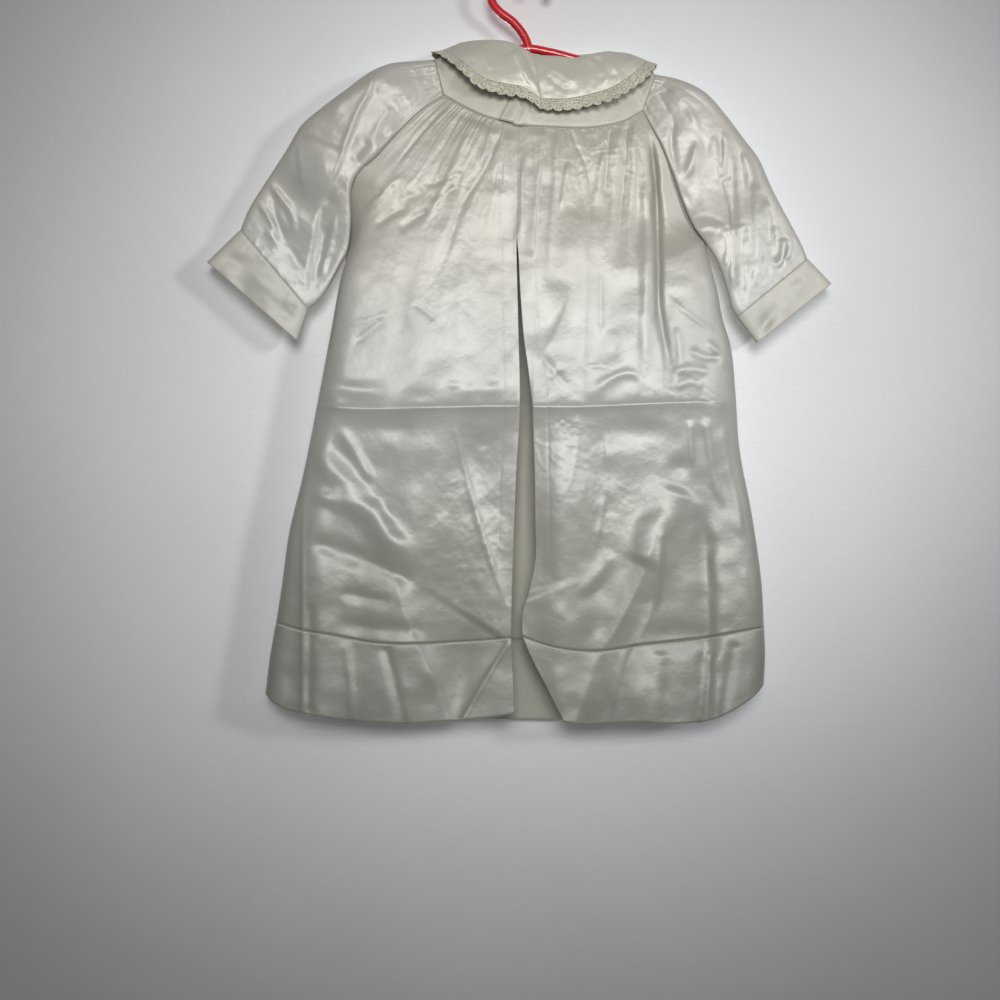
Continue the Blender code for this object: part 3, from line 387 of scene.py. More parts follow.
# Front, over both halves: kind, height mm, width (or width and reach), fades at the two ends, path.
FRONT_CREASES = [
    # the fold mark right across: bright above, dark below
    ("c", 1.9, 3.6, (0.02, 0.02), [(314, 404), (335, 407.5), (360, 409), (390, 409), (420, 408), (460, 407), (522, 406)]),
    ("c", 2.6, 22.0, (0.08, 0.05), [(312, 404), (335, 407.5), (360, 409), (390, 409), (420, 408), (460, 407), (522, 406)]),
    ("c", 1.6, 3.0, (0.02, 0.02), [(530, 407), (575, 407), (640, 404), (700, 402), (738, 403)]),
    ("c", 1.8, 22.0, (0.02, 0.05), [(530, 407), (575, 407), (640, 404), (700, 402), (738, 403)]),
    # wearer's right: gathers that run on into long folds
    ("r", -1.5, 4.5, (0.1, 0.35), [(500, 128), (487, 162), (462, 203), (447, 247), (431, 284)]),
    ("s", 1.2, (2.5, 26.0), (0.05, 0.35), [(500, 128), (487, 162), (462, 203), (447, 247), (431, 284)]),
    ("s", 1.0, (2.0, 14.0), (0.05, 0.3), [(484, 122), (474, 150), (452, 185), (430, 215)]),
    ("c", -1.3, 1.8, (0.1, 0.3), [(452, 101), (432, 122), (408, 150), (392, 172)]),
    ("c", -1.1, 1.5, (0.1, 0.3), [(440, 99), (425, 113), (398, 140)]),
    ("c", -1.2, 1.6, (0.1, 0.3), [(463, 110), (450, 135), (436, 160)]),
    ("r", 1.0, 4.0, (0.1, 0.4), [(474, 116), (462, 150), (440, 195), (415, 240)]),
    ("r", 0.9, 6.0, (0.1, 0.4), [(508, 128), (504, 170), (498, 210), (490, 260)]),
    ("r", -0.7, 4.0, (0.2, 0.2), [(424, 187), (440, 181), (466, 172)]),
    ("r", -0.6, 4.0, (0.2, 0.2), [(428, 199), (446, 192), (464, 186)]),
    ("r", -0.7, 4.5, (0.2, 0.2), [(393, 206), (410, 197), (426, 191)]),
    ("r", -1.2, 4.5, (0.2, 0.2), [(374, 228), (392, 214), (412, 206)]),
    ("r", -1.0, 4.5, (0.2, 0.2), [(398, 232), (414, 219), (430, 209)]),
    ("r", -2.0, 2.2, (0.15, 0.1), [(384, 189), (370, 199), (358, 209)]),
    ("r", -2.8, 2.2, (0.1, 0.15), [(352, 211), (355, 221), (359, 232)]),
    ("r", 1.0, 4.0, (0.2, 0.3), [(400, 175), (384, 192), (366, 214)]),
    ("c", 0.5, 2.0, (0.2, 0.2), [(347, 325), (368, 320), (391, 312)]),
    ("r", -0.7, 5.0, (0.2, 0.2), [(352, 345), (366, 334), (388, 318)]),
    ("c", -0.8, 2.2, (0.2, 0.2), [(412, 303), (424, 310), (436, 321)]),
    ("r", 1.0, 9.0, (0.3, 0.3), [(470, 240), (462, 300), (458, 360)]),
    ("r", -0.9, 11.0, (0.3, 0.3), [(412, 250), (402, 310), (400, 370)]),
    # the two fronts' turned edges
    ("c", -0.5, 1.2, (0.02, 0.05), [(502, 160), (501, 240), (502, 330), (504, 405), (500, 480), (498, 560), (496, 632)]),
    ("r", 1.3, 3.0, (0.25, 0.12), [(524, 150), (522, 190), (521, 225), (517, 244)]),
    ("s", 1.4, (1.2, 9.0), (0.03, 0.12), [(545, 128), (542, 160), (538, 200), (534.5, 235), (534, 262)]),
    ("c", -0.5, 1.2, (0.1, 0.1), [(534, 262), (537, 330), (547, 400), (549, 470), (550, 560)]),
    # wearer's left: gathers
    ("c", -1.1, 1.4, (0.1, 0.2), [(572, 128), (576, 145), (586, 166), (589, 180), (590, 225), (588, 262)]),
    ("r", 1.0, 3.0, (0.2, 0.3), [(569, 160), (564, 190), (560, 214)]),
    ("r", 1.0, 3.5, (0.2, 0.3), [(604, 150), (600, 180), (596, 206)]),
    ("r", 0.8, 4.0, (0.1, 0.4), [(556, 130), (556, 170), (552, 220), (548, 290)]),
    ("r", 0.8, 4.5, (0.1, 0.4), [(620, 124), (616, 165), (612, 220), (606, 280)]),
    ("c", -1.0, 1.6, (0.1, 0.3), [(611, 126), (607, 160), (604, 205)]),
    ("r", 0.9, 4.0, (0.1, 0.3), [(634, 118), (634, 160), (630, 220), (628, 280)]),
    ("c", -1.2, 1.8, (0.1, 0.3), [(627, 121), (625, 160), (621, 210), (618, 262)]),
    # the deep pleat from the end of the left gathers, with the bright ridge beside it
    ("s", -3.5, (1.2, 20.0), (0.30, 0.42), [(664, 430), (664, 380), (661, 320), (658.5, 262), (656.5, 205), (655, 175), (652.5, 148), (648, 120)]),
    ("r", -6.5, 3.6, (0.15, 0.45), [(648, 122), (652.5, 148), (655, 175), (656.5, 205), (658.5, 262), (660, 320), (667, 352), (673, 395)]),
    ("r", 2.2, 6.0, (0.15, 0.2), [(645, 172), (647, 230), (646, 300), (645, 384)]),
    ("c", 1.0, 1.8, (0.2, 0.2), [(665, 294), (691, 316), (722, 337)]),
    ("r", 1.4, 5.0, (0.2, 0.3), [(676, 325), (680, 350), (680, 378)]),
    # facets between the slit and the pleat
    ("k", 1.5, 16.0, (0.3, 0.3), [(576, 282), (565, 310), (556, 331), (537, 364)]),
    ("k", 1.2, 12.0, (0.1, 0.35), [(583, 408), (584, 350), (586, 294), (587.5, 237)]),
    ("c", -0.9, 2.0, (0.2, 0.2), [(600, 268), (601, 300), (601, 336)]),
    ("c", 0.9, 1.5, (0.15, 0.15), [(583, 367), (597, 366), (613, 366.5)]),
    ("r", -1.3, 5.5, (0.3, 0.3), [(585, 396), (600, 386), (612, 378), (631, 373), (648, 388)]),
    ("r", 0.7, 4.0, (0.3, 0.3), [(540, 352), (552, 368), (572, 392)]),
    ("r", -0.6, 4.0, (0.3, 0.3), [(546, 380), (556, 372), (568, 366)]),
    ("r", -1.2, 4.5, (0.2, 0.2), [(674, 388), (690, 381), (706, 386)]),
    ("r", 0.9, 3.5, (0.2, 0.2), [(672, 373), (690, 368), (712, 373)]),
    ("c", -1.2, 2.0, (0.2, 0.2), [(699, 397), (710, 402), (722, 404)]),
    ("r", -1.4, 4.0, (0.2, 0.2), [(688, 349), (704, 357), (726, 356)]),
    ("r", 1.2, 3.5, (0.2, 0.2), [(706, 340), (718, 352), (728, 372)]),
    # below the fold mark, wearer's right
    ("k", 3.4, 17.0, (0.05, 0.15), [(508, 608), (490, 555), (473, 498), (463, 458), (455, 424)]),
    ("r", 0.7, 2.8, (0.1, 0.25), [(454, 424), (462, 458), (472, 498), (489, 555), (506, 606)]),
    ("k", 6.5, 27.0, (0.0, 0.24), [(470, 778), (451, 726), (437, 688), (420, 652), (407, 622), (397, 582), (389, 530)]),
    ("r", 3.2, 13.0, (0.10, 0.2), [(307, 447), (329, 468), (352, 490), (369, 515), (386, 542), (396, 564)]),
    ("r", 1.6, 7.0, (0.25, 0.2), [(338, 424), (356, 455), (374, 484)]),
    ("r", 2.3, 9.0, (0.15, 0.2), [(309, 493), (340, 502), (370, 511), (393, 538), (410, 570)]),
    ("r", -2.3, 9.0, (0.15, 0.2), [(306, 541), (330, 547), (370, 562), (420, 586)]),
    ("r", -1.3, 6.0, (0.2, 0.2), [(338, 592), (365, 597), (394, 603)]),
    ("r", -1.5, 8.0, (0.2, 0.2), [(330, 622), (370, 628), (430, 632)]),
    ("k", 1.8, 12.0, (0.1, 0.0), [(316, 398), (309, 432), (304.5, 470), (303, 520), (303, 628), (303, 716)]),
    ("r", 1.0, 2.2, (0.1, 0.02), [(316, 398), (309, 432), (304.5, 470), (303, 520), (303, 628), (303, 716)]),
    ("r", -1.3, 4.0, (0.1, 0.05), [(310, 600), (310, 640), (309, 716)]),
    ("r", -1.2, 12.0, (0.3, 0.3), [(428, 430), (424, 500), (430, 580)]),
    # below the fold mark, wearer's left
    ("c", 0.7, 2.0, (0.1, 0.2), [(577, 413), (578, 440), (576, 458), (570, 482), (560, 502)]),
    ("c", 0.9, 1.6, (0.15, 0.2), [(605, 430), (607, 478), (600, 525), (593, 554)]),
    ("r", 3.3, 17.0, (0.12, 0.15), [(682, 486), (671, 510), (653, 540), (638, 566)]),
    ("r", 1.5, 7.0, (0.2, 0.3), [(614, 550), (598, 574), (578, 598)]),
    ("r", 3.0, 16.0, (0.0, 0.12), [(560, 775), (579, 727), (608, 655), (640, 596), (664, 536)]),
    ("k", 2.4, 22.0, (0.0, 0.16), [(557, 777), (575, 727), (603, 650), (620, 622), (640, 582), (653, 545), (661, 518)]),
    ("k", 4.5, 15.0, (0.16, 0.0), [(661, 535), (656, 575), (650, 615), (633, 648), (611, 727), (597, 777)]),
    ("r", 1.7, 3.2, (0.15, 0.25), [(662, 526), (660, 560), (656, 612)]),
    ("r", -3.0, 8.5, (0.2, 0.0), [(700, 500), (706, 560), (708, 630), (704, 726)]),
    ("r", 2.4, 4.2, (0.12, 0.25), [(706, 416), (710, 452), (717, 488), (726, 510)]),
    ("r", 1.6, 3.5, (0.2, 0.3), [(690, 418), (691, 445), (693, 470)]),
    ("r", 2.0, 5.0, (0.12, 0.25), [(722, 424), (733, 482), (747, 558)]),
    ("r", 1.3, 2.5, (0.2, 0.2), [(736, 486), (740, 512), (741, 538)]),
    ("r", 1.0, 4.0, (0.2, 0.3), [(742, 566), (750, 600), (757, 626)]),
    ("c", -0.9, 2.0, (0.2, 0.3), [(727, 440), (733, 470), (743, 520)]),
    # hem
    ("r", -1.6, 5.0, (0.1, 0.02), [(384, 642), (394, 680), (404, 726)]),
    ("k", 4.4, 20.0, (0.04, 0.0), [(511, 640), (493, 668), (473, 702), (459, 726), (431, 774)]),
    ("r", 0.8, 2.0, (0.06, 0.0), [(511, 640), (493, 668), (473, 702), (460, 726)]),
    ("r", 1.0, 4.0, (0.1, 0.05), [(345, 640), (350, 680), (352, 720)]),
    ("r", 1.2, 3.0, (0.1, 0.02), [(708, 650), (704, 690), (700, 722)]),
    ("r", -1.2, 5.0, (0.1, 0.02), [(735, 640), (729, 676), (722, 720)]),
    ("r", 1.4, 8.0, (0.1, 0.02), [(662, 650), (658, 690), (654, 724)]),
]
FRONT_DENTS = [
    (359, 390, 26, 9, 3, -2.0), (486, 389, 24, 8, -3, -1.4), (453, 385, 7, 4, 0, -0.6), (420, 396, 20, 7, 5, 0.7),
    (400, 429, 36, 12, 2, -1.5), (338, 395, 14, 6, 10, 0.8), (425, 330, 30, 18, -30, 0.7), (380, 296, 26, 12, 60, -0.7),
    (564, 525, 36, 92, 0, 7.5), (630, 314, 15, 17, 0, 1.6), (560, 318, 10, 26, 20, -0.8), (612, 350, 10, 22, 0, -0.8),
    (648, 562, 32, 36, 0, 2.4), (680, 467, 9, 9, 0, -2.0), (678, 634, 34, 12, 0, -1.6), (600, 500, 24, 30, 20, 0.9), (560, 590, 20, 36, 0, -1.0),
    (620, 455, 30, 14, 0, 1.0), (470, 540, 26, 50, 0, 0.8), (360, 540, 26, 14, 20, 0.8), (340, 455, 16, 10, 40, -1.0),
    (690, 300, 16, 30, 0, 1.0), (600, 205, 26, 20, 0, -0.6), (574, 250, 30, 42, 0, 2.6), (520, 330, 12, 40, 0, 0.4), (640, 430, 24, 10, 0, -1.1),
    (700, 440, 8, 12, 0, -0.9), (340, 670, 26, 20, 0, 0.8), (432, 676, 12, 26, -25, 0.8), (640, 690, 20, 20, 0, 0.9),
]
# where the cloth is finely crinkled: column, row, half width, half height, how much
CRINKLED = [
    (468, 520, 44, 92, 1.0), (562, 450, 34, 60, 1.0), (440, 196, 60, 40, 0.9), (692, 385, 40, 38, 0.9), (600, 170, 60, 50, 0.7),
    (440, 300, 60, 50, 0.35), (620, 500, 60, 60, 0.5), (345, 540, 40, 80, 0.3), (660, 150, 30, 60, 0.6),
]
BACK_CREASES = [
    ("r", 1.4, 9.0, (0.02, 0.02), [(312, 402), (420, 405), (519, 404), (620, 405), (740, 400)]),
    ("c", 0.7, 1.6, (0.02, 0.02), [(312, 404), (420, 407), (519, 406), (620, 407), (740, 402)]),
    ("s", 1.8, (2.5, 24.0), (0.05, 0.35), [(500, 110), (492, 160), (474, 215), (440, 280)]),
    ("r", 1.5, 5.0, (0.05, 0.35), [(540, 105), (536, 170), (532, 250)]),
    ("r", 1.6, 5.0, (0.05, 0.35), [(580, 105), (588, 170), (606, 250)]),
    ("c", -1.2, 1.8, (0.1, 0.3), [(615, 105), (640, 150), (668, 200)]),
    ("c", -1.2, 1.8, (0.1, 0.3), [(470, 100), (440, 140), (410, 190)]),
    ("r", 2.0, 5.0, (0.1, 0.2), [(455, 420), (440, 500), (420, 600), (404, 700)]),
    ("r", 1.8, 5.0, (0.1, 0.2), [(590, 420), (600, 500), (622, 600), (640, 700)]),
    ("r", -1.8, 6.0, (0.2, 0.2), [(520, 440), (524, 540), (516, 640)]),
    ("r", 1.6, 3.5, (0.12, 0.05), [(332, 396), (322, 480), (318, 560), (318, 705)]),
    ("r", 1.6, 3.5, (0.12, 0.05), [(716, 396), (722, 480), (728, 560), (726, 705)]),
    ("k", 4.0, 22.0, (0.0, 0.24), [(617, 774), (600, 724), (585, 680), (566, 620), (556, 560), (552, 520)]),
    ("k", 3.2, 18.0, (0.1, 0.2), [(470, 612), (452, 540), (436, 480), (424, 428)]),
    ("k", 3.4, 20.0, (0.0, 0.16), [(363, 773), (380, 724), (402, 660), (428, 600), (446, 556)]),
    ("r", 2.0, 14.0, (0.25, 0.5), [(322, 446), (350, 478), (384, 520), (420, 590)]),
    ("r", 1.7, 12.0, (0.3, 0.5), [(712, 450), (690, 506), (648, 546), (596, 574)]),
    ("r", -1.4, 11.0, (0.4, 0.5), [(312, 552), (372, 580), (440, 588), (510, 582)]),
    ("r", 1.3, 11.0, (0.5, 0.4), [(560, 590), (640, 610), (722, 590)]),
    ("r", 1.1, 10.0, (0.4, 0.4), [(450, 440), (520, 466), (600, 452)]),
    ("r", -0.9, 9.0, (0.4, 0.5), [(372, 340), (428, 316), (490, 312)]),
    ("r", 0.9, 9.0, (0.5, 0.4), [(560, 290), (620, 312), (690, 296)]),
    ("s", 1.6, (2.5, 20.0), (0.05, 0.35), [(600, 110), (612, 160), (634, 215), (650, 270)]),
    ("r", 0.6, 4.5, (0.4, 0.4), [(580, 378), (606, 371), (650, 377)]),
    ("r", 0.6, 4.5, (0.4, 0.4), [(400, 384), (440, 375), (474, 379)]),
]
BACK_DENTS = [(356, 392, 26, 9, 3, -1.8), (660, 390, 28, 9, -3, -1.8), (520, 500, 34, 40, 0, 3.0), (440, 672, 22, 24, 0, 1.4), (660, 676, 26, 22, 0, 1.6), (420, 330, 30, 16, -30, 0.9), (600, 320, 26, 12, 60, -0.9), (500, 500, 30, 12, 80, 0.9), (640, 540, 26, 10, 100, 0.9), (380, 560, 26, 10, 70, -0.9)]

# Sleeves, seen from the front; the back of each takes the same table with its own seed.
SLEEVE_RIGHT_CREASES = [
    ("s", 2.4, (1.4, 16.0), (0.04, 0.08), [(376, 70), (372, 88), (360, 110), (352, 131), (345, 150), (336, 175), (325, 195), (319, 212), (315, 236), (310, 265), (307, 296)]),
    ("r", 1.2, 3.0, (0.1, 0.2), [(371, 90), (358, 112), (349, 134), (341, 156)]),
    ("c", -1.2, 1.6, (0.05, 0.3), [(436, 82), (420, 92), (398, 98), (378, 100)]),
    ("c", -1.2, 1.6, (0.05, 0.3), [(440, 90), (424, 104), (406, 120), (392, 134)]),
    ("c", -0.9, 1.4, (0.05, 0.4), [(434, 70), (418, 76), (402, 78)]),
    ("r", 1.0, 4.0, (0.1, 0.3), [(392, 108), (381, 122), (372, 142)]),
    ("r", -1.4, 5.0, (0.2, 0.2), [(370, 140), (362, 150), (352, 162)]),
    ("s", 1.0, (1.6, 10.0), (0.1, 0.2), [(306, 200), (300, 178), (297, 150), (296, 134)]),
    ("k", 1.6, 9.0, (0.1, 0.1), [(298, 131), (312, 136), (330, 143), (346, 150)]),
    ("r", 1.3, 3.5, (0.15, 0.3), [(266, 178), (278, 194), (290, 212), (296, 240)]),
    ("r", -1.2, 5.0, (0.2, 0.2), [(272, 190), (276, 216), (286, 244)]),
    ("r", 1.2, 3.0, (0.15, 0.2), [(256, 200), (268, 216), (276, 234)]),
    ("r", 1.3, 3.5, (0.2, 0.2), [(336, 214), (330, 244), (318, 282)]),
    ("r", -1.2, 4.0, (0.2, 0.2), [(326, 222), (322, 250), (314, 284)]),
    ("c", -1.0, 1.6, (0.1, 0.2), [(346, 186), (334, 194), (324, 206)]),
]
SLEEVE_RIGHT_DENTS = [
    (394, 133, 7, 6, 20, 1.2), (374, 146, 15, 13, 0, 2.6), (333, 104, 15, 10, 20, 1.6), (385, 84, 17, 9, 10, 1.8),
    (320, 172, 21, 22, 0, 4.6), (337, 196, 7, 9, 0, 0.9), (350, 92, 8, 9, 0, 1.2), (268, 262, 14, 9, 40, 1.0), (288, 215, 12, 5, 60, -0.9), (272, 236, 10, 4, 60, 0.9), (296, 260, 12, 5, 60, -0.8),
    (330, 200, 8, 5, 30, -1.0), (318, 262, 26, 26, 0, -3.4),
]
SLEEVE_LEFT_CREASES = [
    ("r", 1.8, 2.2, (0.1, 0.1), [(714, 136), (717, 152), (721, 178)]),
    ("r", 1.8, 2.2, (0.1, 0.1), [(725, 132), (725, 152), (723, 178)]),
    ("s", 2.2, (1.4, 12.0), (0.1, 0.1), [(732, 229), (730, 212), (726, 195), (722, 178)]),
    ("r", -1.4, 3.0, (0.1, 0.2), [(719, 135), (720, 152), (721, 168)]),
    ("r", 1.8, 2.6, (0.15, 0.1), [(692, 222), (704, 216), (716, 220), (730, 230)]),
    ("r", -2.0, 3.0, (0.15, 0.1), [(698, 230), (708, 226), (720, 230)]),
    ("c", -1.2, 1.6, (0.1, 0.2), [(712, 217), (718, 224), (731, 226)]),
    ("r", 1.6, 3.0, (0.2, 0.2), [(697, 141), (693, 158), (686, 180)]),
    ("r", -1.4, 3.5, (0.2, 0.3), [(674, 118), (672, 145), (678, 175)]),
    ("c", -1.3, 1.8, (0.05, 0.3), [(660, 84), (676, 98), (694, 118)]),
    ("c", -1.2, 1.8, (0.05, 0.3), [(658, 92), (668, 110), (678, 128)]),
    ("c", -1.0, 1.6, (0.05, 0.3), [(662, 80), (684, 90), (708, 108)]),
    ("r", 1.2, 4.0, (0.1, 0.3), [(668, 90), (686, 108), (702, 132)]),
    ("s", 2.0, (1.6, 10.0), (0.15, 0.1), [(730, 300), (731, 250), (731, 200), (730, 150)]),
    ("r", -1.6, 5.0, (0.1, 0.1), [(738, 145), (740, 200), (740, 250), (742, 300)]),
    ("r", 1.8, 3.2, (0.15, 0.1), [(750, 170), (750, 218), (753, 250), (756, 290)]),
    ("r", 1.6, 3.0, (0.2, 0.2), [(758, 226), (759, 250), (760, 280)]),
    ("r", 1.6, 3.0, (0.2, 0.2), [(776, 224), (778, 240), (776, 262)]),
    ("r", 1.4, 2.6, (0.2, 0.2), [(788, 230), (790, 246), (786, 262)]),
    ("r", -1.6, 3.5, (0.2, 0.2), [(783, 236), (783, 254), (776, 270)]),
    ("r", 1.4, 4.0, (0.2, 0.3), [(742, 150), (750, 170), (756, 192)]),
    ("r", -1.4, 4.0, (0.2, 0.2), [(766, 196), (768, 220), (768, 250)]),
    ("r", 1.6, 2.6, (0.1, 0.1), [(714, 252), (720, 268), (727, 288), (730, 304)]),
    ("r", 1.2, 2.6, (0.1, 0.1), [(726, 232), (728, 250), (725, 266)]),
]
SLEEVE_LEFT_DENTS = [
    (692, 162, 15, 6, 110, 1.2), (684, 196, 10, 6, 60, -1.2), (700, 196, 9, 6, 100, 1.0), (754, 252, 22, 6, 95, -1.0),
    (706, 150, 12, 5, 80, -1.2), (736, 180, 20, 6, 90, -0.8), (722, 300, 10, 5, 80, 1.2), (772, 205, 12, 5, 80, 1.0),
]
CUFF_RIGHT_DENTS = [(262, 282, 14, 9, 40, 1.4), (238, 262, 12, 7, 30, -1.0), (284, 312, 12, 7, 40, -0.9), (226, 270, 8, 5, 50, 0.8)]
CUFF_LEFT_DENTS = [(800, 286, 12, 8, 140, 1.2), (785, 305, 10, 8, 120, 1.0), (766, 322, 6, 12, 30, -2.6), (815, 280, 10, 6, 130, -0.8)]


# ---- pieces ------------------------------------------------------------------------------------------------------------
def seam_dip(d, depth=0.55, width=1.6):
    """How far the cloth sinks at a seam, d units away."""
    return depth * np.exp(-((d / width) ** 2))


def front_panel(edge, sleeve, side, gather, hem_seam, u, v, mirror):
    upper, lower = v <= 0.30 + 1e-9, v > 0.30 + 1e-9
    k = np.where(upper, v / 0.30 * RAGLAN, RAGLAN + (v - 0.30) / 0.70 * 11)
    outer = np.zeros((len(v), 3))
    outer[upper] = sections(sleeve, k[upper])[:, :3]
    outer[lower, :2] = through(side, (v[lower] - 0.30) / 0.70)
    outer[lower, 2] = depth_at(outer[lower, 1], SIDE)
    inner = through(edge, v)
    round_s, round_d = corner_shape(u)
    turn = smooth((k - 5) / 4.0)[:, None]
    s = (1 - turn) * u + turn * round_s
    deep = (1 - turn) * u**2.2 + turn * round_d
    plane = coons(inner, outer, lambda t: through(gather, t), lambda t: through(hem_seam, t), s, v)
    col, row = plane[..., 0], plane[..., 1]
    depth = inner[:, 2:3] + (outer[:, 2:3] - inner[:, 2:3]) * deep
    top = through(gather, s[0])
    down = np.hypot(col - top[None, :, 0], row - top[None, :, 1])
    out = folds(col, row, FRONT_FOLDS) * smooth(v[:, None] * 5)
    out = out + creases(col, row, FRONT_CREASES) * smooth(down / 10)
    out = out + dents(col, row, FRONT_DENTS)
    out = out + crumple(col, row, 3, 0.6 * crinkled(col, row))
    out = (out + fold_ridge(row)) * smooth((1 - s) * 9)
    out = out - 1.6 * smooth((row - 440) / 120.0) * smooth((1 - s) * 4)
    edge_free = smooth((col - inner[:, 0:1]) * mirror / 9 - 0.9)
    pleats = gathers(s, down, [(27, 0.42, 24), (14, 0.6, 50), (6, 0.55, 120)], 21 if mirror > 0 else 22)
    out = out + pleats * smooth(down / 3) * (0.25 + 0.75 * edge_free) * smooth((1 - s) * 14)
    out = out - seam_dip(down, 0.15, 1.2)
    near_rag = np.hypot(col - outer[:, 0:1], row - outer[:, 1:2])
    out = out - seam_dip(near_rag, 0.15, 1.2) * (k[:, None] < RAGLAN + 1)
    seam = through(hem_seam, s[-1])
    out = out - seam_dip(row - seam[None, :, 1], 0.12, 1.2)
    return np.dstack([plane, depth - out]), s[-1], deep[-1]


def hem_plane(seam_row, edge, side, hem, s, v):
    inner, outer, bottom = through(edge, v), through(side, v), through(hem, s)
    top = seam_row[:, :2]
    left, right = inner[:, :2], outer[:, :2]
    a, q = v[:, None, None], s[None, :, None]
    flat = (1 - q) * ((1 - a) * left[0] + a * left[-1]) + q * ((1 - a) * right[0] + a * right[-1])
    return (1 - q) * left[:, None] + q * right[:, None] + (1 - a) * top[None] + a * bottom[None] - flat


def sleeve_form(table, at, half):
    """The bare sleeve at the given sections: columns, rows and depths, and the share over each half."""
    u = even(half)
    t = sections(table, at)
    rows, shares = [], []
    for k, (fc, fr, fd, tc, tr, bc, br, bd, full) in zip(at, t):
        tube = smooth((k - 4) / 5.0)
        share = (1 - tube) * np.sin(u * math.pi / 2) + tube * (1 - np.cos(u * math.pi)) / 2
        end = np.maximum(1 - share**6.5, 0) ** (1 / 6.5)
        both = np.maximum(1 - np.abs(2 * share - 1) ** 6.5, 0) ** (1 / 6.5)
        front = np.column_stack([fc + (tc - fc) * share, fr + (tr - fr) * share, fd * end - full * both])
        back = np.column_stack([bc + (tc - bc) * share, br + (tr - br) * share, bd * end + full * both])
        rows.append(np.vstack([front, back[::-1][1:]]))
        shares.append(np.concatenate([share, share[::-1][1:]]))
    return np.array(rows), np.array(shares)


def sleeve_grid(table, at, half, crease_table, dent_table, seed):
    grid, share = sleeve_form(table, at, half)
    col, row = grid[..., 0], grid[..., 1]
    n = np.arange(grid.shape[1])
    side = np.where(n <= half, 1.0, -1.0)[None]
    out = creases(col, row, crease_table) + dents(col, row, dent_table)
    out = out + 0.5 * noise(col, row + side * 300, 22, seed) + crumple(col, row + side * 300, seed, 0.5)
    down = np.hypot(col - grid[:1, :, 0], row - grid[:1, :, 1])
    across = n[None] / (2.0 * half)
    out = out + gathers(np.broadcast_to(across, col.shape), down, [(20, 0.6, 16), (11, 0.8, 34), (5, 0.7, 70)], seed + 2) * smooth(down / 3)
    cuff = np.hypot(col - grid[-1:, :, 0], row - grid[-1:, :, 1])
    out = out + gathers(np.broadcast_to(across, col.shape), cuff, [(26, 0.30, 7), (12, 0.35, 14)], seed + 7)
    at = np.asarray(at)[:, None]
    edge = smooth((1 - share) * 7) * np.where(at < RAGLAN, 1.0, smooth(share * 9))
    rag = np.minimum(np.hypot(col - grid[:, :1, 0], row - grid[:, :1, 1]) + (side < 0) * 99, np.hypot(col - grid[:, -1:, 0], row - grid[:, -1:, 1]) + (side > 0) * 99)
    out = out * edge * smooth(rag / 5 + (at > RAGLAN + 1)) - seam_dip(rag, 0.15, 1.2) * (at < RAGLAN)
    out = out - seam_dip(down, 0.15, 1.2) - seam_dip(cuff, 0.15, 1.2)
    grid = grid.copy()
    grid[..., 2] = grid[..., 2] - side * out
    return grid, share


def pull_in(grid, top=0.0, bottom=0.0, first=0.0, last=0.0, rows=slice(None)):
    g = grid.copy()

    def shift(edge, inner, by):
        way = inner - edge
        by = np.asarray(by, float)[..., None] if np.ndim(by) else by
        return edge + way / np.maximum(np.linalg.norm(way, axis=-1, keepdims=True), 1e-9) * np.minimum(by, 0.6 * np.linalg.norm(way, axis=-1, keepdims=True))

    if np.any(first):
        g[rows, 0] = shift(grid[rows, 0], grid[rows, 1], first)
    if np.any(last):
        g[rows, -1] = shift(grid[rows, -1], grid[rows, -2], last)
    if top:
        g[0] = shift(g[0], g[1], top)
    if bottom:
        g[-1] = shift(g[-1], g[-2], bottom)
    return g


